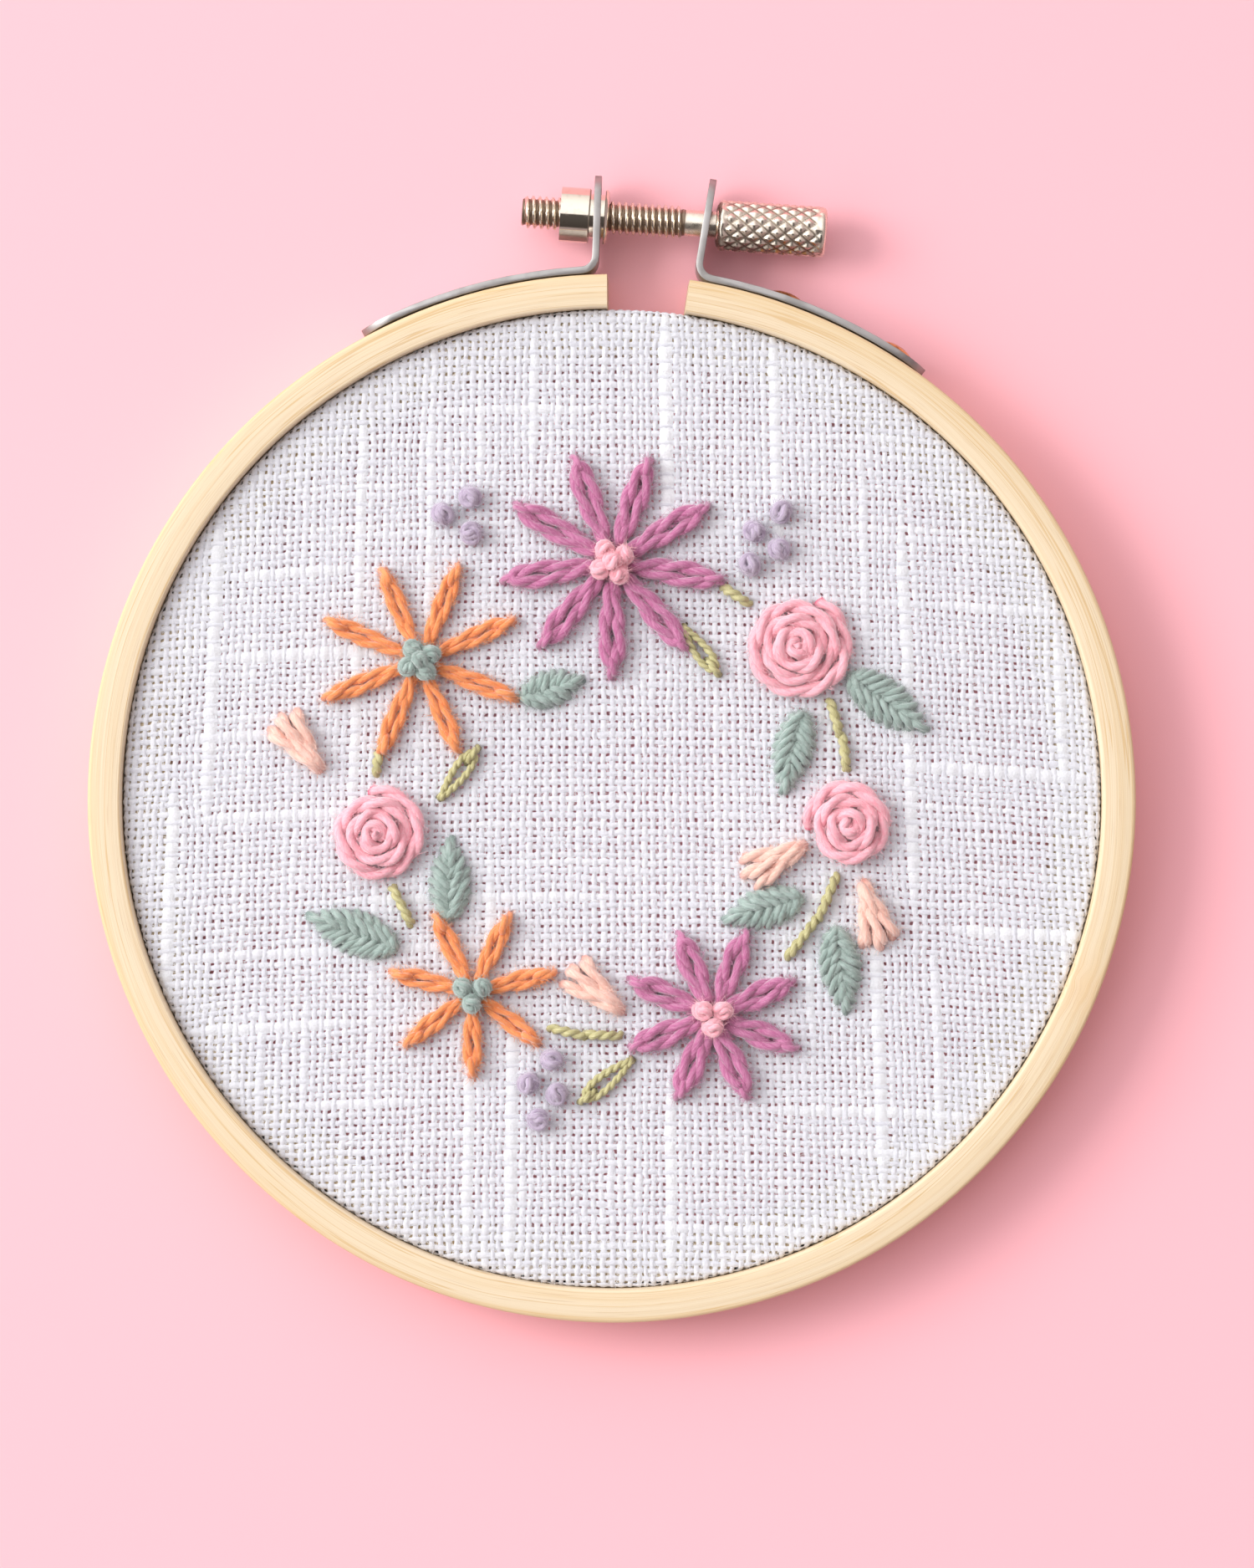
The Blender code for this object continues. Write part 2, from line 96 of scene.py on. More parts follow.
class Wire:
    """A shader value, on which arithmetic adds Math nodes."""

    def __init__(self, graph: "Graph", socket: bpy.types.NodeSocket) -> None:
        """Keep the socket and the graph that it belongs to."""
        self.graph = graph
        self.socket = socket

    def _math(self, operation: str, first: "Value", second: "Value") -> "Wire":
        """Math node over two values."""
        return self.graph.node("ShaderNodeMath", {0: first, 1: second}, operation=operation)

    def __add__(self, other: "Value") -> "Wire":
        """Sum."""
        return self._math("ADD", self, other)

    __radd__ = __add__

    def __sub__(self, other: "Value") -> "Wire":
        """Difference."""
        return self._math("SUBTRACT", self, other)

    def __rsub__(self, other: "Value") -> "Wire":
        """Difference, with the wire taken away."""
        return self._math("SUBTRACT", other, self)

    def __mul__(self, other: "Value") -> "Wire":
        """Product."""
        return self._math("MULTIPLY", self, other)

    __rmul__ = __mul__

    def __truediv__(self, other: "Value") -> "Wire":
        """Quotient."""
        return self._math("DIVIDE", self, other)


Value = Wire | float | Sequence[float]


class Graph:
    """Adds nodes to a node tree."""

    def __init__(self, tree: bpy.types.NodeTree) -> None:
        """Keep the tree."""
        self.tree = tree

    def feed(self, socket: bpy.types.NodeSocket, value: Value) -> None:
        """Link a wire to a socket, or set the socket's own value."""
        if isinstance(value, Wire):
            self.tree.links.new(value.socket, socket)
        else:
            socket.default_value = value

    def node(
        self,
        kind: str,
        inputs: Mapping[int | str, Value] | None = None,
        output: int | str | None = 0,
        stops: Sequence[tuple[float, Colour]] = (),
        **settings: object,
    ) -> Wire | None:
        """Add a node.

        Args:
            kind: the node's type.
            inputs: values or wires of its sockets.
            output: which output is wanted, or None.
            stops: places and colours of a ramp.
            settings: the node's own settings, set before its sockets.

        Returns:
            The wanted output.
        """
        made = self.tree.nodes.new(kind)
        for key, value in settings.items():
            setattr(made, key, value)
        for k, (place, colour) in enumerate(stops):
            ramp = made.color_ramp.elements
            stop = ramp[k] if k < 2 else ramp.new(place)
            stop.position = place
            stop.color = colour
        for key, value in (inputs or {}).items():
            self.feed(made.inputs[key], value)
        return None if output is None else Wire(self, made.outputs[output])

    def vector(self, x: Value, y: Value, z: Value) -> Wire:
        """Three numbers as one vector."""
        return self.node("ShaderNodeCombineXYZ", {0: x, 1: y, 2: z})

    def split(self, vector: Wire) -> tuple[Wire, Wire, Wire]:
        """The three numbers of a vector."""
        x = self.node("ShaderNodeSeparateXYZ", {0: vector})
        return x, Wire(self, x.socket.node.outputs[1]), Wire(self, x.socket.node.outputs[2])

    def noise(self, vector: Wire, scale: float, detail: float = 2.0, rough: float = 0.5) -> Wire:
        """Noise from 0 to 1."""
        return self.node(
            "ShaderNodeTexNoise",
            {"Vector": vector, "Scale": scale, "Detail": detail, "Roughness": rough},
        )

    def range(self, value: Wire, low: float, high: float, start: float, end: float) -> Wire:
        """Value carried smoothly from the range low to high to the range start to end."""
        return self.node(
            "ShaderNodeMapRange",
            {0: value, 1: low, 2: high, 3: start, 4: end},
            interpolation_type="SMOOTHSTEP",
        )

    def mix(self, share: Value, first: Value, second: Value, blend: str = "MIX") -> Wire:
        """Colour between two colours."""
        return self.node(
            "ShaderNodeMix", {0: share, 6: first, 7: second}, 2, data_type="RGBA", blend_type=blend
        )


class Finish(Graph):
    """Node tree of one finish round a Principled shader."""

    def __init__(self, name: str) -> None:
        """Start a material of that name."""
        self.material = bpy.data.materials.new(name)
        self.material.use_nodes = True
        super().__init__(self.material.node_tree)
        self.shader = self.tree.nodes["Principled BSDF"]

    def place(self) -> tuple[Wire, Wire, Wire]:
        """Place on the piece in millimetres."""
        place = self.node("ShaderNodeTexCoord", output="Object")
        scaled = self.node(
            "ShaderNodeVectorMath", {0: place, "Scale": 1 / MM}, operation="SCALE"
        )
        return self.split(scaled)

    def bump(self, height: Wire, depth: float, strength: float = 1.0) -> Wire:
        """Normal of a surface that a height raises by up to depth, in millimetres."""
        return self.node(
            "ShaderNodeBump", {"Height": height, "Distance": depth * MM, "Strength": strength}
        )

    def done(self, **sockets: Value) -> bpy.types.Material:
        """Feed the shader's sockets, whose spaces are written as underscores."""
        for name, value in sockets.items():
            self.feed(self.shader.inputs[name.replace("_", " ")], value)
        return self.material


@dataclass(frozen=True)
class BambooFinish:
    """Pale bamboo whose fibres run round the ring."""

    centre_y: float
    pale: Colour = paint(225, 205, 174)
    line: Colour = paint(209, 175, 126)
    golden: Colour = paint(216, 186, 138)
    pore: Colour = paint(184, 142, 98)
    mid_r: float = 53.0  # radius at which lengths round the ring are measured
    skin_r: tuple[float, float] = (54.2, 55.1)  # from here to there the cane's skin darkens it
    figure_clock: float = radians(108.0)  # where the photo's ring has a wavy figure
    figure_reach: float = 3.2

    def material(self) -> bpy.types.Material:
        """Bamboo with fine fibres, broad tones, short dark pores and one wavy figure."""
        g = Finish("bamboo")
        x, y, z = g.place()
        y = y - self.centre_y
        radius = g.node("ShaderNodeMath", {0: x * x + y * y}, operation="SQRT")
        clock = g.node("ShaderNodeMath", {0: x * -1.0, 1: y * -1.0}, operation="ARCTAN2")
        along = clock * self.mid_r
        figure = (along - self.mid_r * (self.figure_clock - pi)) / self.figure_reach
        figure = g.node("ShaderNodeMath", {0: figure * figure * -1.0}, operation="EXPONENT")
        sway = g.noise(g.vector(radius * 0.35, z * 0.35, along * 0.25), 1.0, 1.0)
        drift = g.noise(g.vector(radius * 0.1, z * 0.1, along * 0.04), 1.0, 1.0)
        across = radius + (sway - 0.5) * figure * 2.4 + (drift - 0.5) * 0.8
        fibres = g.noise(g.vector(across * 5.4, z * 4.2, along * 0.022), 1.0, 4.0, 0.7)
        tones = g.noise(g.vector(across * 0.8, z * 0.7, along * 0.02), 1.0, 2.0)
        pores = g.noise(g.vector(across * 8.5, z * 7.0, along * 0.16), 1.0, 1.0)
        layers = g.noise(g.vector(across * 1.15, z * 0.95, along * 0.012), 1.0, 2.0, 0.6)
        seam = g.node("ShaderNodeMath", {0: layers - 0.5}, operation="ABSOLUTE")
        colour = g.mix(g.range(fibres, 0.44, 0.66, 0.0, 0.45), self.pale, self.line)
        colour = g.mix(g.range(tones, 0.45, 0.75, 0.0, 0.40), colour, self.golden)
        colour = g.mix(g.range(seam, 0.004, 0.022, 0.80, 0.0), colour, self.line)
        colour = g.mix(g.range(pores, 0.62, 0.74, 0.0, 0.35), colour, self.pore)
        colour = g.mix(figure * 0.25, colour, paint(224, 180, 128))
        colour = g.mix(g.range(radius, *self.skin_r, 0.0, 0.6), colour, self.golden)
        return g.done(
            Base_Color=colour,
            Roughness=g.range(fibres, 0.3, 0.7, 0.42, 0.60),
            Normal=g.bump(fibres + pores * 0.5, 0.05, 0.6),
            Specular_IOR_Level=0.35,
        )


@dataclass(frozen=True)
class SteelFinish:
    """Satin strip steel, drawn along its length."""

    colour: Colour = paint(168, 163, 160)
    dull: Colour = paint(128, 123, 119)

    def material(self) -> bpy.types.Material:
        """Grey steel with drawing lines and faint stains."""
        g = Finish("satin_steel")
        x, y, z = g.place()
        lines = g.noise(g.vector(x * 0.12, y * 0.12, z * 9.0), 1.0, 3.0)
        stains = g.noise(g.vector(x, y, z), 0.45, 3.0)
        colour = g.mix(g.range(stains, 0.4, 0.75, 0.0, 0.55), self.colour, self.dull)
        return g.done(
            Base_Color=g.mix(lines * 0.25, colour, paint(205, 200, 196)),
            Metallic=1.0,
            Roughness=g.range(lines + stains, 0.7, 1.3, 0.36, 0.54),
            Normal=g.bump(lines, 0.015, 0.5),
        )


@dataclass(frozen=True)
class NickelFinish:
    """Warm bright nickel plate, with painted shade darkening it in its grooves."""

    name: str
    smooth: float  # roughness away from the rubbed spots
    rubbed: float  # roughness where it is worn
    colour: Colour = paint(230, 217, 200)
    # colour of the grooves, which is painted shade
    groove: Colour = paint(132, 112, 94)

    def material(self) -> bpy.types.Material:
        """Nickel that reads the piece's own groove attribute, 0 in a groove and 1 on a crest."""
        g = Finish(self.name)
        place = g.vector(*g.place())
        crest = g.node("ShaderNodeAttribute", output="Fac", attribute_name="crest")
        off_groove = g.range(crest, 0.0, 0.45, 0.0, 1.0)
        spots = g.noise(place, 1.6, 3.0)
        # painted shade: the colour darkens into the thread's and the knurl's grooves
        colour = g.mix(off_groove, self.groove, self.colour)
        colour = g.mix(g.range(spots, 0.5, 0.8, 0.0, 0.30), colour, paint(190, 174, 154))
        return g.done(
            Base_Color=colour,
            Metallic=1.0,
            Roughness=g.range(spots, 0.3, 0.8, self.smooth, self.rubbed) + (1.0 - off_groove) * 0.2,
            Normal=g.bump(g.noise(place, 2.2), 0.006, 0.3),
        )


@dataclass(frozen=True)
class BrassFinish:
    """Worn brass of the rivets."""

    colour: Colour = paint(214, 164, 92)
    worn: Colour = paint(150, 104, 52)

    def material(self) -> bpy.types.Material:
        """Brass with rubbed and darker places."""
        g = Finish("brass")
        place = g.vector(*g.place())
        wear = g.noise(place, 1.3, 3.0)
        return g.done(
            Base_Color=g.mix(g.range(wear, 0.4, 0.7, 0.0, 1.0), self.colour, self.worn),
            Metallic=1.0,
            Roughness=g.range(wear, 0.3, 0.7, 0.24, 0.45),
            Normal=g.bump(g.noise(place, 5.0), 0.02, 0.5),
        )


@dataclass(frozen=True)
class LinenFinish:
    """White linen yarn."""

    white: Colour = paint(252, 252, 253)
    shade: Colour = paint(233, 232, 238)
    glow: float = 0.18  # share of the light that comes through the cloth

    def material(self) -> bpy.types.Material:
        """Linen that reads each yarn's own tone and its length and breadth from the UV map."""
        g = Finish("linen_yarn")
        tone = g.node("ShaderNodeAttribute", output="Fac", attribute_name="tone")
        u, v, _ = g.split(g.node("ShaderNodeTexCoord", output="UV"))
        fibres = g.noise(g.vector(u * 1.3, v * 7.0 + u * 1.6, tone * 40.0), 1.0, 4.0, 0.7)
        lint = g.noise(g.vector(*g.place()), 5.0, 2.0, 0.6)
        colour = g.mix(g.range(tone, 0.0, 1.0, 0.0, 1.0), self.shade, self.white)
        colour = g.mix(g.range(fibres, 0.42, 0.70, 0.0, 0.35), colour, paint(218, 215, 224))
        linen = g.done(
            Base_Color=colour,
            Roughness=0.85,
            Sheen_Weight=0.4,
            Specular_IOR_Level=0.15,
            Normal=g.bump(fibres + lint, 0.10, 0.9),
        )
        through = g.node("ShaderNodeBsdfTranslucent", {"Color": self.white})
        front = Wire(g, g.shader.outputs[0])
        both = g.node("ShaderNodeMixShader", {0: self.glow, 1: front, 2: through})
        g.feed(g.tree.nodes["Material Output"].inputs["Surface"], both)
        return linen


@dataclass(frozen=True)
class ThreadFinish:
    """Stitching thread, soft wool or shiny pearl cotton."""

    name: str
    colour: Colour
    light: Colour
    # dark colour of the heathered streaks, also painted shade where a thread's ends sink into their
    # holes
    deep: Colour
    roughness: float = 0.95
    sheen: float = 0.9
    relief: float = 0.09

    def material(self) -> bpy.types.Material:
        """Thread that reads its length, its turn and its sunken ends from its own mesh, and paints
        shade on the sunken ends.
        """
        g = Finish(self.name)
        out = g.node("ShaderNodeAttribute", output="Fac", attribute_name="out")
        u, v, _ = g.split(g.node("ShaderNodeTexCoord", output="UV"))
        fibres = g.noise(g.vector(u * 0.8, v * 14.0 + u * 1.6, 0.0), 1.0, 3.0, 0.75)
        place = g.vector(*g.place())
        heather = g.noise(place, 0.9, 3.0, 0.6)
        lint = g.noise(place, 5.5, 2.0, 0.6)
        colour = g.mix(g.range(fibres, 0.36, 0.64, 0.0, 0.9), self.colour, self.light)
        colour = g.mix(g.range(heather, 0.50, 0.85, 0.0, 0.40), colour, self.deep)
        # painted shade: the colour darkens towards each end where the thread goes down its hole
        colour = g.mix(g.range(out, 0.0, 1.0, 0.0, 1.0), self.deep, colour)
        return g.done(
            Base_Color=colour,
            Roughness=self.roughness,
            Sheen_Weight=self.sheen,
            Sheen_Roughness=0.45,
            Specular_IOR_Level=0.3,
            Normal=g.bump(fibres + lint * 0.7, self.relief, 0.9),
        )


class Thread(Enum):
    """Threads of the wreath, each with its finish."""

    PLUM = ThreadFinish(
        "plum_wool", paint(177, 95, 136), paint(201, 134, 166), paint(117, 45, 84)
    )
    PINK = ThreadFinish(
        "pink_wool", paint(242, 162, 174), paint(244, 190, 197), paint(215, 100, 125)
    )
    ORANGE = ThreadFinish(
        "orange_wool", paint(236, 131, 72), paint(238, 160, 105), paint(197, 75, 36)
    )
    SAGE = ThreadFinish(
        "sage_wool", paint(145, 163, 154), paint(171, 184, 176), paint(85, 105, 99)
    )
    PEACH = ThreadFinish(
        "peach_wool", paint(239, 183, 164), paint(241, 206, 191), paint(206, 115, 100)
    )
    LAVENDER = ThreadFinish(
        "lavender_wool", paint(174, 155, 178), paint(196, 182, 196), paint(124, 97, 132)
    )
    OLIVE = ThreadFinish(
        "olive_cotton",
        paint(174, 166, 114),
        paint(203, 195, 149),
        paint(79, 68, 42),
        0.55,
        0.25,
        0.05,
    )


def only(piece: bpy.types.Object) -> None:
    """Select one object alone and make it the active one."""
    bpy.ops.object.select_all(action="DESELECT")
    piece.select_set(True)
    bpy.context.view_layer.objects.active = piece


def dress(
    piece: bpy.types.Object,
    material: bpy.types.Material,
    body: str,
    nodes: Sequence[str],
) -> bpy.types.Object:
    """Give a finished piece its material, its body and the CAD nodes it stands for.

    Args:
        piece: the object, at the origin with its place in its mesh.
        material: its finish.
        body: the CAD body that it moves with.
        nodes: the CAD nodes that it replaces.

    Returns:
        The same object.
    """
    piece.data.materials.clear()
    piece.data.materials.append(material)
    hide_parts(*nodes)
    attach(piece, body)
    log.info("%s: %d faces, stands for %s", piece.name, len(piece.data.polygons), ", ".join(nodes))
    return piece


def finish_shape(piece: bpy.types.Object, sharp: float = 35.0) -> None:
    """Apply the place of an object to its mesh and shade it smooth up to an angle in degrees."""
    only(piece)
    bpy.ops.object.transform_apply(location=True, rotation=True, scale=True)
    bpy.ops.object.shade_smooth_by_angle(angle=radians(sharp))


def turned(
    name: str, centre: Vector, profile: Sequence[tuple[float, float]], sides: int, closed: bool
) -> bpy.types.Object:
    """Piece turned about an axis along X, extruded ring by ring.

    Args:
        name: the object's name.
        centre: a point of the axis, in millimetres; the profile's places count from it.
        profile: places along X and radii, in millimetres, from -X to +X on the outside.
        sides: points of each ring.
        closed: whether the profile comes back to its start, as a tube's does.

    Returns:
        The object in metres, with normals outwards.
    """
    first_x, first_r = profile[0]
    bpy.ops.object.select_all(action="DESELECT")
    bpy.ops.mesh.primitive_circle_add(
        vertices=sides,
        radius=first_r * MM,
        fill_type="NOTHING" if closed else "NGON",
        location=(centre + Vector((first_x, 0, 0))) * MM,
        rotation=(0, pi / 2, 0),
    )
    piece = bpy.context.object
    piece.name = name
    bpy.ops.object.transform_apply(location=True, rotation=True, scale=True)
    bpy.ops.object.mode_set(mode="EDIT")
    bpy.ops.mesh.select_all(action="SELECT")
    stations = list(profile) + ([profile[0]] if closed else [])
    for (x_from, r_from), (x_to, r_to) in zip(stations, stations[1:]):
        bpy.ops.mesh.extrude_region_move(
            TRANSFORM_OT_translate={"value": ((x_to - x_from) * MM, 0, 0)}
        )
        if abs(r_to - r_from) > 1e-6:
            grow = r_to / r_from
            middle = (centre + Vector((x_to, 0, 0))) * MM
            bpy.ops.transform.resize(value=(1, grow, grow), center_override=middle)
    bpy.ops.mesh.select_all(action="SELECT")
    bpy.ops.mesh.remove_doubles(threshold=1e-6)
    bpy.ops.mesh.normals_make_consistent(inside=False)
    bpy.ops.object.mode_set(mode="OBJECT")
    return piece


def set_attribute(piece: bpy.types.Object, name: str, values: np.ndarray) -> None:
    """Store one number for each vertex under a name."""
    layer = piece.data.attributes.new(name, "FLOAT", "POINT")
    layer.data.foreach_set("value", np.asarray(values, np.float32))


@dataclass
class Hoop:
    """Sizes of the hoop read from the frame, in millimetres."""

    centre: Vector = field(init=False)
    cloth_top: float = field(init=False)
    screw_axis: Vector = field(init=False)

    def __post_init__(self) -> None:
        """Measure the frame's own nodes."""
        low, high = (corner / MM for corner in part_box("inner_ring"))
        self.centre = Vector(((low.x + high.x) / 2, (low.y + high.y) / 2, 0))
        self.cloth_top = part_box("cloth")[1].z / MM
        low, high = (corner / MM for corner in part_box("thumb_screw"))
        self.screw_axis = Vector((0, (low.y + high.y) / 2, (low.z + high.z) / 2))

    def at(self, radius: float, clock: float, z: float) -> Vector:
        """Point at a radius and clock angle from the hoop's centre."""
        return self.centre + Vector((radius * sin(clock), radius * cos(clock), z))

    def clock_of(self, point: Vector) -> float:
        """Clock angle of a point, from 0 to a full turn."""
        return atan2(point.x - self.centre.x, point.y - self.centre.y) % (2 * pi)


@dataclass
class BambooRing:
    """One ring of the hoop: a strip with softened edges bent round."""

    node: str
    inner_r: float
    outer_r: float
    height: float
    edge: float
    opening: float = 0.0  # half of the split, as a clock angle
    steps: int = 180
    waver: float = 0.03
    slant: float = 0.15

    def build(self, hoop: Hoop, material: bpy.types.Material) -> bpy.types.Object:
        """Model the ring's section, spin it round the hoop and close it."""
        bpy.ops.object.select_all(action="DESELECT")
        bpy.ops.mesh.primitive_plane_add(
            size=MM,
            location=hoop.at((self.inner_r + self.outer_r) / 2, self.opening, self.height / 2) * MM,
            rotation=(pi / 2, 0, pi / 2 - self.opening),
        )
        ring = bpy.context.object
        ring.name = self.node + "_wood"
        ring.scale = (self.outer_r - self.inner_r, self.height, 1)
        bpy.ops.object.transform_apply(location=True, rotation=True, scale=True)
        bpy.ops.object.mode_set(mode="EDIT")
        bpy.ops.mesh.select_all(action="SELECT")
        bpy.ops.mesh.bevel(offset=self.edge * MM, segments=4, affect="VERTICES")
        bpy.ops.mesh.select_all(action="SELECT")
        bpy.ops.mesh.delete(type="ONLY_FACE")
        bpy.ops.mesh.select_all(action="SELECT")
        bpy.ops.mesh.spin(
            steps=self.steps,
            angle=2 * pi - 2 * self.opening,
            center=hoop.centre * MM,
            axis=(0, 0, 1),
        )
        bpy.ops.mesh.select_all(action="SELECT")
        bpy.ops.mesh.remove_doubles(threshold=1e-6)
        if self.opening:
            bpy.ops.mesh.fill_holes(sides=0)
            bpy.ops.mesh.select_all(action="SELECT")
        bpy.ops.mesh.normals_make_consistent(inside=False)
        bpy.ops.object.mode_set(mode="OBJECT")
        self._waver(ring, hoop)
        self._slant_ends(ring, hoop)
        finish_shape(ring, 50.0)
        return dress(ring, material, "hoop", [self.node])

    def _slant_ends(self, ring: bpy.types.Object, hoop: Hoop) -> None:
        """Cut both ends of a split ring back a little towards its face."""
        if not self.opening:
            return
        reach = 2.5 * (2 * pi - 2 * self.opening) / self.steps
        for vertex in ring.data.vertices:
            place = vertex.co / MM - hoop.centre
            clock = atan2(place.x, place.y)
            share = 1 - (abs(clock) - self.opening) / reach
            if share > 0:
                back = self.slant * share * place.z / self.height
                back = back if clock > 0 else -back
                vertex.co += Vector((cos(clock), -sin(clock), 0)) * back * MM

    def _waver(self, ring: bpy.types.Object, hoop: Hoop) -> None:
        """Make the strip as slightly uneven as cut bamboo is, but leave its back flat."""
        for vertex in ring.data.vertices:
            place = vertex.co / MM - hoop.centre
            clock = atan2(place.x, place.y)
            radial = Vector((place.x, place.y, 0)).normalized()
            sway = sin(3 * clock + 0.7) + 0.6 * sin(7 * clock + 2.1) + 0.4 * sin(13 * clock)
            lift = sin(5 * clock + 1.3) + 0.5 * sin(11 * clock + 0.4)
            rise = place.z / self.height
            vertex.co += (radial * sway * self.waver + UP * lift * rise * self.waver) * MM


@dataclass
class ClaspPlate:
    """Bent steel strip with its ear, on the shape of its CAD node with softened edges."""

    node: str
    edge: float = 0.12

    def build(self, frame: Mapping[str, object], material: bpy.types.Material) -> bpy.types.Object:
        """Copy the node, merge its loose triangles and round its edges."""
        bpy.ops.object.select_all(action="DESELECT")
        plate = frame["nodes"][self.node].copy()
        plate.data = plate.data.copy()
        plate.name = self.node + "_steel"
        plate.parent = None
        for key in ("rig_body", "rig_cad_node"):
            del plate[key]
        bpy.context.collection.objects.link(plate)
        only(plate)
        bpy.ops.object.mode_set(mode="EDIT")
        bpy.ops.mesh.select_all(action="SELECT")
        bpy.ops.mesh.remove_doubles(threshold=1e-6)
        bpy.ops.mesh.tris_convert_to_quads(face_threshold=radians(5), shape_threshold=pi)
        bpy.ops.mesh.dissolve_limited(angle_limit=radians(1.0))
        bpy.ops.object.mode_set(mode="OBJECT")
        bevel = plate.modifiers.new("edges", "BEVEL")
        bevel.width = self.edge * MM
        bevel.segments = 2
        bevel.limit_method = "ANGLE"
        bevel.angle_limit = radians(50)
        bpy.ops.object.modifier_apply(modifier=bevel.name)
        finish_shape(plate, 30.0)
        return dress(plate, material, "hoop", [self.node])


@dataclass
class ThreadBush:
    """Round bush swaged through the left ear, with a thin flange on the other side."""

    start: float = -9.74
    shoulder: float = -6.62
    flange: float = -5.1
    end: float = -4.66
    radius: float = 2.9
    neck_r: float = 2.35
    bore_r: float = 1.85
    chamfer: float = 0.3
    sides: int = 56

    def build(self, hoop: Hoop, material: bpy.types.Material) -> bpy.types.Object:
        """Turn the bush round the screw's axis."""
        profile = [(self.start + 0.25, self.bore_r), (self.start, self.bore_r + 0.25)]
        for k in range(4):
            turn = k * pi / 6
            profile.append(
                (
                    self.start + self.chamfer * (1 - sin(turn)),
                    self.radius - self.chamfer * (1 - sin(turn)) * cos(turn),
                )
            )
        profile += [
            (self.shoulder - 0.15, self.radius),
            (self.shoulder, self.radius - 0.15),
            (self.shoulder, self.neck_r),
            (self.flange, self.neck_r),
            (self.flange, self.radius - 0.05),
            (self.flange + 0.12, self.radius),
            (self.end - 0.15, self.radius - 0.06),
            (self.end, self.radius - 0.3),
            (self.end, self.bore_r + 0.2),
            (self.end - 0.2, self.bore_r),
        ]
        bush = turned("thread_bush_nickel", hoop.screw_axis, profile, self.sides, True)
        finish_shape(bush, 40.0)
        set_attribute(bush, "crest", np.ones(len(bush.data.vertices)))
        return dress(bush, material, "hoop", ["thread_bush"])


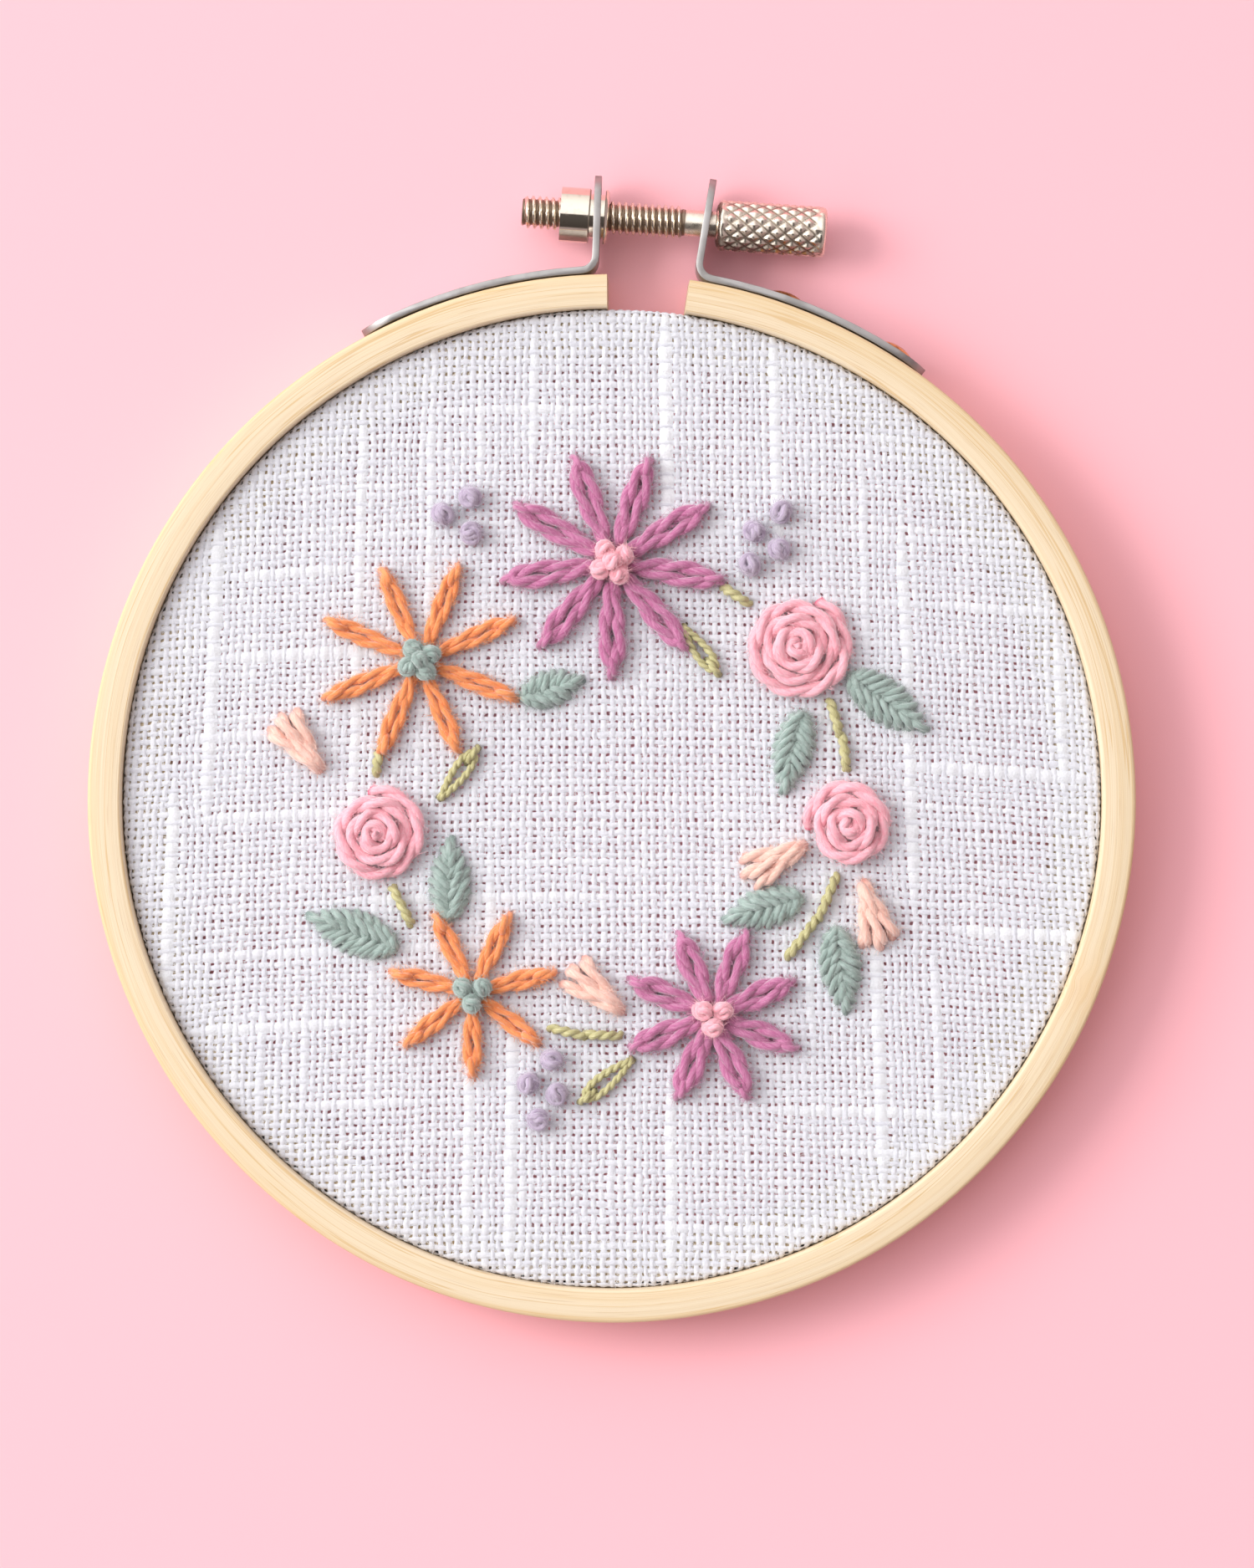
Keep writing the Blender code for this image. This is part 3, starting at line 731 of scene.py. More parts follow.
@dataclass
class ThumbScrew:
    """Screw with a true helical thread, a plain neck and a diamond-knurled knob."""

    start: float = -13.8
    thread_end: float = 3.4
    pitch: float = 0.7
    crest_r: float = 1.75
    root_r: float = 1.36
    neck_r: float = 1.4
    thread_sides: int = 32
    rings_a_pitch: int = 8
    knob_start: float = 6.72
    knob_end: float = 18.4
    knob_r: float = 2.7
    knurl_depth: float = 0.26
    diamonds_round: int = 12
    diamond_length: float = 1.65
    knob_sides: int = 96
    knob_rows: int = 72

    def build(self, hoop: Hoop, material: bpy.types.Material) -> bpy.types.Object:
        """Model the threaded rod and the knob, then join them as the one turned piece."""
        rod = self._rod(hoop)
        knob = self._knob(hoop)
        only(rod)
        knob.select_set(True)
        bpy.ops.object.join()
        finish_shape(rod, 42.0)
        return dress(rod, material, "screw", ["thumb_screw"])

    def _rod(self, hoop: Hoop) -> bpy.types.Object:
        """Rod extruded in short rings, whose points are then cut to the thread's helix."""
        rows = round((self.thread_end - self.start) / self.pitch * self.rings_a_pitch)
        step = (self.thread_end - self.start) / rows
        profile = [(self.start + k * step, self.root_r) for k in range(rows + 1)]
        profile += [(self.thread_end + 0.3, self.neck_r), (self.knob_start + 0.3, self.neck_r)]
        rod = turned(
            "thumb_screw_nickel", hoop.screw_axis, profile, self.thread_sides, False
        )
        crest = np.ones(len(rod.data.vertices))
        for k, vertex in enumerate(rod.data.vertices):
            place = vertex.co / MM - hoop.screw_axis
            if place.x > self.thread_end + 0.01:
                continue
            turn = atan2(place.z, place.y) / (2 * pi)
            phase = ((place.x - self.start) / self.pitch - turn) % 1.0
            ridge = min(max(1.5 - 2 * abs(2 * phase - 1), 0.0), 1.0)
            fade_in = min(max((place.x - self.start) / 0.55, 0.0), 1.0)
            fade_out = min(max((self.thread_end - place.x) / 0.5, 0.0), 1.0)
            ridge *= min(0.25 + 0.75 * fade_in, fade_out)
            crest[k] = ridge
            radius = self.root_r + (self.crest_r - self.root_r) * ridge
            grow = radius / hypot(place.y, place.z)
            vertex.co = (hoop.screw_axis + Vector((place.x, place.y * grow, place.z * grow))) * MM
        # crest is 0 in the thread's groove and 1 on its crest; the nickel finish paints shade where
        # it is low
        set_attribute(rod, "crest", crest)
        return rod

    def _knob(self, hoop: Hoop) -> bpy.types.Object:
        """Knob turned with rounded ends, whose sides are then pressed into diamonds."""
        body_start = self.knob_start + 0.55
        body_end = self.knob_end - 0.55
        profile = [
            (self.knob_start, self.neck_r - 0.2),
            (self.knob_start, self.knob_r - 1.0),
            (self.knob_start + 0.12, self.knob_r - 0.55),
            (self.knob_start + 0.32, self.knob_r - 0.2),
        ]
        for k in range(self.knob_rows + 1):
            profile.append((body_start + (body_end - body_start) * k / self.knob_rows, self.knob_r))
        profile += [
            (self.knob_end - 0.3, self.knob_r - 0.1),
            (self.knob_end - 0.1, self.knob_r - 0.25),
            (self.knob_end, self.knob_r - 0.5),
            (self.knob_end, 0.4),
        ]
        knob = turned("thumb_screw_knob", hoop.screw_axis, profile, self.knob_sides, False)
        crest = np.ones(len(knob.data.vertices))
        for k, vertex in enumerate(knob.data.vertices):
            place = vertex.co / MM - hoop.screw_axis
            if not body_start - 0.01 < place.x < body_end + 0.01:
                continue
            turn = atan2(place.z, place.y) / (2 * pi) * self.diamonds_round
            slide = place.x / self.diamond_length
            rise = min(1 - abs(2 * ((turn + s * slide) % 1.0) - 1) for s in (-1, 1))
            rise = min(rise / 0.8, 1.0)
            edge = min(place.x - body_start, body_end - place.x)
            hollow = (1 - rise) * min(1.0, 0.35 + edge)
            crest[k] = 1 - hollow
            grow = (self.knob_r - self.knurl_depth * hollow) / hypot(place.y, place.z)
            vertex.co = (hoop.screw_axis + Vector((place.x, place.y * grow, place.z * grow))) * MM
        # crest is 0 in the knurl's hollows and 1 on its diamonds; the nickel finish paints shade
        # where it is low
        set_attribute(knob, "crest", crest)
        return knob


@dataclass
class Rivet:
    """Domed rivet head and shank, seated on a clasp plate."""

    node: str
    head_r: float = 1.75
    shank_r: float = 0.9
    dome: float = 0.55
    seat_r: float = 56.35  # where the CAD node's head starts, from the hoop's centre
    sink: float = 0.27  # how much closer than its CAD node the head sits on the plate
    sides: int = 28

    def build(self, hoop: Hoop, material: bpy.types.Material) -> bpy.types.Object:
        """Turn the rivet, then stand it on its plate."""
        low, high = (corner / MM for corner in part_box(self.node))
        clock = hoop.clock_of((low + high) / 2)
        seat = self.seat_r - self.sink
        profile = [(-1.2, self.shank_r), (0.0, self.shank_r), (0.0, self.head_r - 0.08)]
        for k in range(7):
            turn = k * pi / 2 / 6.5
            profile.append((0.08 + self.dome * sin(turn) ** 1.4, self.head_r * cos(turn)))
        rivet = turned(self.node + "_brass", Vector((0, 0, 0)), profile, self.sides, False)
        middle_z = (low.z + high.z) / 2
        outward = Vector((sin(clock), cos(clock), 0))
        turn = outward.to_track_quat("X", "Z").to_matrix().to_4x4()
        rivet.data.transform(Matrix.Translation(hoop.at(seat, clock, middle_z) * MM) @ turn)
        finish_shape(rivet, 50.0)
        return dress(rivet, material, "hoop", [self.node])


@dataclass(frozen=True)
class Slub:
    """Swollen stretch of one linen yarn, in the photo's own directions."""

    across: float  # where the yarn lies, from the hoop's centre
    start: float
    end: float
    swell: float


@dataclass
class WovenLinen:
    """Plain weave of uneven linen yarns, drawn over the inner ring and down behind it."""

    pitch: float = 0.85
    yarn: float = 0.64  # width of a usual yarn where it crosses another
    waist: float = 0.82  # share of that width between two crossings
    wave: float = 0.09  # how far a yarn rises and dips at each crossing
    crown: float = 0.11  # height of a yarn's round back
    plane: float = 6.55  # height of the weave's middle
    skirt_r: float = 51.38
    roll: float = 0.4
    hem: float = 0.5
    loose_fibres: int = 42000
    fibre_half: float = 0.017  # half of a loose fibre's width
    neighbours: int = 9  # yarns on each side that make room for a thick one
    unevenness: float = 0.04
    tilt: float = 0.0011  # warp yarns lean in towards the clasp
    bow: float = 0.0008  # weft yarns hang down at both sides
    warp_slubs: tuple[Slub, ...] = (
        Slub(-43.0, -2, 32, 2.7),
        Slub(-46.6, -26, 4, 2.5),
        Slub(-36.0, -35, -19, 1.8),
        Slub(-31.6, -33, -19, 1.8),
        Slub(-27.8, -8, 42, 2.1),
        Slub(-24.6, -35, -7, 1.8),
        Slub(-19.8, 12, 42, 1.9),
        Slub(-17.7, -26, -3, 1.8),
        Slub(-14.6, -48, -22, 2.2),
        Slub(-14.4, 32, 43, 1.8),
        Slub(-12.8, -23, -7, 2.2),
        Slub(-10.4, -50, -20, 2.6),
        Slub(-9.0, 34, 50, 2.0),
        Slub(5.4, 27, 52, 2.7),
        Slub(5.6, -51, -29, 2.3),
        Slub(17.2, 24, 50, 2.3),
        Slub(20.0, -26, -8, 1.7),
        Slub(26.6, 14, 38, 1.8),
        Slub(26.8, -41, -12, 2.6),
        Slub(30.8, -11, 30, 2.4),
        Slub(32.7, -36, -14, 2.0),
        Slub(47.3, 2, 20, 2.2),
    )
    weft_slubs: tuple[Slub, ...] = (
        Slub(40.4, -20, 0, 1.8),
        Slub(24.7, -43, -26, 2.2),
        Slub(21.1, 33, 49, 2.0),
        Slub(16.2, -43, -19, 2.6),
        Slub(7.3, -47, -27, 2.2),
        Slub(3.6, 30, 52, 2.6),
        Slub(-0.8, -45, -25, 2.2),
        Slub(-10.2, 14, 32, 1.9),
        Slub(-10.6, -28, 0, 2.0),
        Slub(-13.0, 34, 52, 2.5),
        Slub(-15.9, -46, -12, 2.0),
        Slub(-23.2, -45, -25, 2.2),
        Slub(-31.4, -34, -18, 1.9),
        Slub(-32.4, 15, 38, 2.1),
        Slub(-37.2, 21, 35, 1.8),
        Slub(-45.0, 3, 23, 1.8),
    )

    def build(self, hoop: Hoop, material: bpy.types.Material) -> list[bpy.types.Object]:
        """Returns:
            The warp, the weft and the loose fibres.
        """
        rng = np.random.default_rng(SEED)
        reach = self._cut_radius()
        count = round(2 * reach / self.pitch)
        warp_width = self._widths(rng, count, reach, self.warp_slubs)
        weft_width = self._widths(rng, count, reach, self.weft_slubs)
        across = self._spread(rng, warp_width, reach)
        up = self._spread(rng, weft_width, reach).T
        warp = self._weave(hoop, "warp", across, up, warp_width, rng)
        weft = self._weave(hoop, "weft", across.T, up.T, weft_width, rng)
        hairs = self._loose_fibres(hoop, rng)
        for piece in (warp, weft, hairs):
            dress(piece, material, "hoop", ["cloth"])
        return [warp, weft, hairs]

    def _cut_radius(self) -> float:
        """Radius of the cut cloth, from the middle over the rolled edge down to the hem."""
        drop = self.plane - self.roll - self.hem
        return self.skirt_r - self.roll + self.roll * pi / 2 + drop

    def _widths(
        self, rng: np.random.Generator, count: int, reach: float, slubs: Sequence[Slub]
    ) -> np.ndarray:
        """Width of each yarn at each crossing: a row for each yarn."""
        along = np.linspace(-reach, reach, count)
        widths = np.full((count, count), self.yarn) * rng.normal(1.0, 0.07, (count, 1))
        for spacing, share in ((5, 0.12), (1, 0.10)):
            lumps = rng.normal(0.0, 1.0, (count, count // spacing + 2))
            spots = np.linspace(0, lumps.shape[1] - 1, count)
            knots = np.arange(lumps.shape[1])
            for row in range(count):
                widths[row] *= 1 + share * np.interp(spots, knots, lumps[row])
        wanted = list(slubs)
        for _ in range(count // 5):
            start = rng.uniform(-reach, reach)
            length = rng.uniform(4, 22)
            wanted.append(
                Slub(rng.uniform(-reach, reach), start, start + length, rng.uniform(1.15, 1.55))
            )
        for slub in wanted:
            row = int(np.clip(round((slub.across + reach) / self.pitch), 0, count - 1))
            rise = np.clip((along - slub.start) / 4.0, 0, 1) * np.clip((slub.end - along) / 4.0, 0, 1)
            lumps = 1 + 0.12 * np.sin(along * 1.9 + slub.across)
            swollen = self.yarn * (1 + (slub.swell - 1) * rise * lumps)
            widths[row] = np.maximum(widths[row], swollen)
        return np.clip(widths, 0.36, 1.9)

    def _spread(self, rng: np.random.Generator, widths: np.ndarray, reach: float) -> np.ndarray:
        """Place of each yarn at each crossing, as a thick yarn pushes those near it aside."""
        count = len(widths)
        gaps = (self.pitch - self.yarn) * rng.uniform(0.6, 1.4, (count, 1))
        steps = (widths[:-1] + widths[1:]) / 2 + gaps[:-1]
        places = np.vstack([np.zeros((1, count)), np.cumsum(steps, axis=0)])
        even = np.linspace(-reach, reach, count)[:, None]
        shift = (places / places[-1] * 2 - 1) * reach - even
        window = np.hanning(2 * self.neighbours + 1)
        window /= window.sum()
        padded = np.pad(shift, ((self.neighbours, self.neighbours), (0, 0)), mode="edge")
        for column in range(count):
            shift[:, column] -= np.convolve(padded[:, column], window, "valid")
        return even + shift + rng.normal(0, self.unevenness, shift.shape)

    def _weave(
        self,
        hoop: Hoop,
        name: str,
        across: np.ndarray,
        up: np.ndarray,
        widths: np.ndarray,
        rng: np.random.Generator,
    ) -> bpy.types.Object:
        """Mesh of all yarns of one direction.

        Args:
            hoop: the hoop's sizes.
            name: warp or weft.
            across: how far to the right each crossing is, with a row for each yarn.
            up: how high each crossing is, with the same rows.
            widths: yarn widths, with the same rows.
            rng: random numbers.

        Returns:
            The mesh object of that direction.
        """
        upright = name == "warp"
        x = self._between(across)
        y = self._between(up)
        x, y = x - self.tilt * x * y, y - self.bow * x * x
        x, y = x * cos(ART_TURN) - y * sin(ART_TURN), x * sin(ART_TURN) + y * cos(ART_TURN)
        wide = self._between(widths)
        wide[:, 1::2] *= self.waist
        count, samples = x.shape
        yarn, sample = np.meshgrid(np.arange(count), np.arange(samples), indexing="ij")
        over = np.where((yarn + sample // 2) % 2 == 0, 1.0, -1.0)
        height = np.where(sample % 2 == 0, over, 0.0) * self.wave * (1 if upright else -1)
        run_x, run_y = np.gradient(x, axis=1), np.gradient(y, axis=1)
        length = np.hypot(run_x, run_y)
        side_x, side_y = run_y / length, -run_x / length
        lanes = np.array((-0.5, -0.2, 0.2, 0.5))
        backs = np.array((-0.12, 1.0, 1.0, -0.12)) * self.crown
        px = x[..., None] + side_x[..., None] * wide[..., None] * lanes
        py = y[..., None] + side_y[..., None] * wide[..., None] * lanes
        lift = height[..., None] + backs * np.sqrt(wide / self.yarn)[..., None]
        inside = np.hypot(x, y) < self._cut_radius()
        points = self._drape(hoop, px, py, lift)
        index = np.arange(count * samples * 4).reshape(count, samples, 4)
        keep = inside[:, :-1] & inside[:, 1:]
        corners = np.stack(
            [index[:, :-1, :-1], index[:, 1:, :-1], index[:, 1:, 1:], index[:, :-1, 1:]], axis=-1
        )[keep].reshape(-1, 4)
        distance = sample * self.pitch / 2 + yarn * 7.3
        uv = np.stack(
            [np.repeat(distance[..., None], 4, 2), np.broadcast_to(lanes, points.shape[:-1])], -1
        )
        tone = np.clip(rng.normal(0.35, 0.10, (count, 1)) + (wide / self.yarn - 1) * 0.4, 0, 1)
        tone = np.repeat(tone[..., None], 4, 2)
        return cast(
            "linen_" + name,
            points.reshape(-1, 3),
            corners,
            uv.reshape(-1, 2),
            {"tone": tone.reshape(-1)},
        )

    def _loose_fibres(self, hoop: Hoop, rng: np.random.Generator) -> bpy.types.Object:
        """Fine bent fibres that stand off the yarns and cross the holes."""
        number = self.loose_fibres
        distance = (self.skirt_r - self.roll) * np.sqrt(rng.uniform(0, 1, (number, 1)))
        clock = rng.uniform(0, 2 * pi, (number, 1))
        heading = rng.integers(0, 2, (number, 1)) * pi / 2 + ART_TURN
        heading = heading + rng.normal(0, 0.45, (number, 1))
        length = rng.uniform(0.6, 2.0, (number, 1))
        share = np.linspace(-0.5, 0.5, 3)
        ahead = share * length
        aside = rng.normal(0, 0.9, (number, 1)) * (share**2 - 0.1) * length
        x = distance * np.sin(clock) + ahead * np.cos(heading) - aside * np.sin(heading)
        y = distance * np.cos(clock) + ahead * np.sin(heading) + aside * np.cos(heading)
        middle = self.plane + self.wave + self.crown * rng.uniform(0.4, 1.5, (number, 1))
        z = middle - 0.9 * share**2
        points = np.stack([hoop.centre.x + x, hoop.centre.y + y, z], -1)
        half = self.fibre_half * np.stack([-np.sin(heading), np.cos(heading), 0 * heading], -1)
        points = np.stack([points - half, points + half], 2).reshape(-1, 3)
        base = np.arange(number)[:, None, None] * 6 + np.arange(2)[None, :, None] * 2
        quads = (base + np.array((0, 2, 3, 1))).reshape(-1, 4)
        tone = np.full(len(points), 1.0)
        return cast("linen_fibres", points, quads, np.zeros((len(points), 2)), {"tone": tone})

    @staticmethod
    def _between(rows: np.ndarray) -> np.ndarray:
        """Rows with a point added half way between each two."""
        filled = np.zeros((rows.shape[0], rows.shape[1] * 2 - 1))
        filled[:, ::2] = rows
        filled[:, 1::2] = (rows[:, :-1] + rows[:, 1:]) / 2
        return filled

    def _drape(self, hoop: Hoop, x: np.ndarray, y: np.ndarray, lift: np.ndarray) -> np.ndarray:
        """Lay flat points over the inner ring: flat, round its edge and straight down."""
        distance = np.maximum(np.hypot(x, y), 1e-6)
        start = self.skirt_r - self.roll
        bend = np.clip((distance - start) / self.roll, 0, pi / 2)
        drop = np.maximum(distance - start - self.roll * pi / 2, 0)
        flat = np.minimum(distance, start)
        radius = flat + self.roll * np.sin(bend) + lift * np.sin(bend)
        z = self.plane - self.roll * (1 - np.cos(bend)) - drop + lift * np.cos(bend)
        return np.stack(
            [hoop.centre.x + x / distance * radius, hoop.centre.y + y / distance * radius, z], -1
        )


def cast(
    name: str,
    points: np.ndarray,
    quads: np.ndarray,
    uv: np.ndarray,
    layers: Mapping[str, np.ndarray],
    corner_uv: np.ndarray | None = None,
) -> bpy.types.Object:
    """Smooth object in metres of points in millimetres.

    Args:
        name: the object's name.
        points: a row for each point.
        quads: a row of four point numbers for each face.
        uv: map place of each point.
        layers: one number for each point under each name.
        corner_uv: map place of each face corner, where a point has several.

    Returns:
        The object, without the points that no face uses.
    """
    used, quads = np.unique(quads, return_inverse=True)
    quads = quads.reshape(-1, 4)
    mesh = bpy.data.meshes.new(name)
    piece = bpy.data.objects.new(name, mesh)
    mesh.vertices.add(len(used))
    mesh.vertices.foreach_set("co", (points[used] * MM).astype(np.float32).ravel())
    mesh.loops.add(quads.size)
    mesh.loops.foreach_set("vertex_index", quads.astype(np.int32).ravel())
    mesh.polygons.add(len(quads))
    mesh.polygons.foreach_set("loop_start", np.arange(0, quads.size, 4, dtype=np.int32))
    map_layer = mesh.uv_layers.new(name="thread")
    places = uv[used][quads].reshape(-1, 2) if corner_uv is None else corner_uv
    map_layer.data.foreach_set("uv", places.astype(np.float32).ravel())
    for key, values in layers.items():
        set_attribute(piece, key, values[used])
    mesh.update(calc_edges=True)
    mesh.polygons.foreach_set("use_smooth", np.ones(len(quads), bool))
    mesh.validate()
    bpy.context.collection.objects.link(piece)
    return piece


@dataclass(frozen=True)
class Yarn:
    """Make-up of a stitching thread."""

    radius: float
    twist: float  # thread length of one turn of its plies
    plies: int = 2
    sides: int = 7
    step: float = 0.30
    fluff: float = 29.0  # loose fibres on each millimetre
    fluff_reach: float = 0.85
    fluff_half: float = 0.013  # half of a loose fibre's width at its root


WOOL = Yarn(radius=0.76, twist=6.4)
THIN_WOOL = Yarn(radius=0.56, twist=5.2)
PEARL = Yarn(radius=0.56, twist=2.3, fluff=1.5, fluff_reach=0.4)
THIN_PEARL = Yarn(radius=0.42, twist=1.9, fluff=1.5, fluff_reach=0.4)


class Skein:
    """Collects the threads of one motif and casts them as one mesh."""

    def __init__(self, rng: np.random.Generator) -> None:
        """Start empty."""
        self.rng = rng
        self.points: list[np.ndarray] = []
        self.quads: list[np.ndarray] = []
        self.corner_uv: list[np.ndarray] = []
        # how far each point is out of its hole; the thread finish paints shade where this is low
        self.out: list[np.ndarray] = []
        self.total = 0

    def lay(self, path: Points, yarn: Yarn, sink: float = 1.6) -> None:
        """Lay a thread along a path.

        Args:
            path: points in millimetres.
            yarn: the thread's make-up.
            sink: length at either end over which painted shade darkens the thread into its hole.
        """
        line = resample(smooth_path(path), yarn.step)
        count = len(line)
        side, top = frames(line)
        along = np.arange(count) * yarn.step
        # 0 at each end and 1 further in; the thread finish paints shade where it is low
        hole_shade_fade = np.clip(np.minimum(along, along[::-1]) / sink, 0, 1)
        start = self.rng.uniform(0, 2 * pi)
        lump = 1 + 0.05 * np.interp(
            along, np.linspace(0, along[-1], 9), self.rng.normal(0, 1, 9)
        )
        for ply in range(yarn.plies):
            turn = start + 2 * pi * (along / yarn.twist + ply / yarn.plies)
            offset = yarn.radius * 0.37 * lump
            middle = line + offset[:, None] * (
                np.cos(turn)[:, None] * side + np.sin(turn)[:, None] * top
            )
            thick = yarn.radius * 0.66 * lump
            self._tube(middle, side, top, thick, along, hole_shade_fade, yarn.sides)
        self._fluff(line, side, top, yarn)

    def _tube(
        self,
        middle: Points,
        side: Points,
        top: Points,
        thick: np.ndarray,
        along: np.ndarray,
        hole_shade_fade: np.ndarray,
        sides: int,
    ) -> None:
        """One ply as a tube of rings."""
        around = np.arange(sides) * 2 * pi / sides
        ring = np.cos(around)[None, :, None] * side[:, None, :]
        ring = ring + np.sin(around)[None, :, None] * top[:, None, :]
        points = middle[:, None, :] + thick[:, None, None] * ring
        count = len(middle)
        row, column = np.meshgrid(np.arange(count - 1), np.arange(sides), indexing="ij")
        after = (column + 1) % sides
        quads = np.stack(
            [row * sides + column, row * sides + after, (row + 1) * sides + after]
            + [(row + 1) * sides + column],
            -1,
        ).reshape(-1, 4)
        u = along[row]
        u_next = along[row + 1]
        v = column / sides
        v_next = (column + 1) / sides
        corner = np.stack(
            [np.stack([u, v], -1), np.stack([u, v_next], -1)]
            + [np.stack([u_next, v_next], -1), np.stack([u_next, v], -1)],
            -2,
        ).reshape(-1, 2)
        self._add(points.reshape(-1, 3), quads, corner, np.repeat(hole_shade_fade, sides))

    def _fluff(self, line: Points, side: Points, top: Points, yarn: Yarn) -> None:
        """Loose fibres that stand off the thread, as narrow bent ribbons."""
        length = (len(line) - 1) * yarn.step
        number = int(length * yarn.fluff)
        if number == 0:
            return
        rng = self.rng
        at = rng.integers(1, len(line) - 1, number)
        angle = rng.uniform(0, 2 * pi, number)
        away = np.cos(angle)[:, None] * side[at] + np.sin(angle)[:, None] * top[at]
        ahead = np.gradient(line, axis=0)[at] / yarn.step
        lean = rng.normal(0, 1.5, (number, 1))
        reach = yarn.fluff_reach * rng.uniform(0.3, 1.0, (number, 1))
        root = line[at] + away * yarn.radius * 0.85
        heading = away + ahead * lean
        heading /= np.linalg.norm(heading, axis=1, keepdims=True)
        curl = rng.normal(0, 0.5, (number, 3))
        middle = root + heading * reach * 0.5
        tip = root + (heading + curl * 0.6) * reach
        width = np.cross(heading, UP)
        width /= np.maximum(np.linalg.norm(width, axis=1, keepdims=True), 1e-6)
        half = width * yarn.fluff_half
        points = np.stack(
            [root - half, root + half, middle - half, middle + half]
            + [tip - half / 2, tip + half / 2],
            1,
        )
        base = np.arange(number)[:, None] * 6
        quads = np.concatenate(
            [base + np.array((0, 1, 3, 2)), base + np.array((2, 3, 5, 4))], axis=0
        )
        corner = np.full((len(quads) * 4, 2), 0.5)
        self._add(points.reshape(-1, 3), quads, corner, np.ones(number * 6))

    def _add(self, points: Points, quads: np.ndarray, corner: np.ndarray, out: np.ndarray) -> None:
        """Keep a stretch of mesh."""
        self.points.append(points)
        self.quads.append(quads + self.total)
        self.corner_uv.append(corner)
        self.out.append(out)
        self.total += len(points)

    def cast(self, name: str) -> bpy.types.Object:
        """Object of all threads laid so far."""
        return cast(
            name,
            np.concatenate(self.points),
            np.concatenate(self.quads),
            np.zeros((self.total, 2)),
            {"out": np.concatenate(self.out)},
            np.concatenate(self.corner_uv),
        )


def smooth_path(path: Points, parts: int = 6) -> Points:
    """Smooth curve through the points of a path."""
    path = np.asarray(path, float)
    ends = np.vstack([2 * path[0] - path[1], path, 2 * path[-1] - path[-2]])
    share = np.linspace(0, 1, parts, endpoint=False)[:, None]
    pieces = []
    for a, b, c, d in zip(ends, ends[1:], ends[2:], ends[3:]):
        pieces.append(
            0.5
            * (
                2 * b
                + (c - a) * share
                + (2 * a - 5 * b + 4 * c - d) * share**2
                + (3 * b - a - 3 * c + d) * share**3
            )
        )
    return np.vstack([*pieces, path[-1:]])


def resample(path: Points, step: float) -> Points:
    """Points an even step apart along a path."""
    along = np.concatenate([[0], np.cumsum(np.linalg.norm(np.diff(path, axis=0), axis=1))])
    count = max(4, round(along[-1] / step) + 1)
    at = np.linspace(0, along[-1], count)
    return np.stack([np.interp(at, along, path[:, k]) for k in range(3)], axis=1)


def frames(line: Points) -> tuple[Points, Points]:
    """Side and top at each point of a line, turning as little as they can."""
    ahead = np.gradient(line, axis=0)
    ahead /= np.maximum(np.linalg.norm(ahead, axis=1, keepdims=True), 1e-9)
    side = np.zeros_like(line)
    start = np.cross(ahead[0], UP)
    if np.linalg.norm(start) < 0.2:
        start = np.cross(ahead[0], (0.0, 1.0, 0.0))
    side[0] = start / np.linalg.norm(start)
    for k in range(1, len(line)):
        turned_side = side[k - 1] - ahead[k] * np.dot(side[k - 1], ahead[k])
        side[k] = turned_side / max(np.linalg.norm(turned_side), 1e-9)
    return side, np.cross(side, ahead)


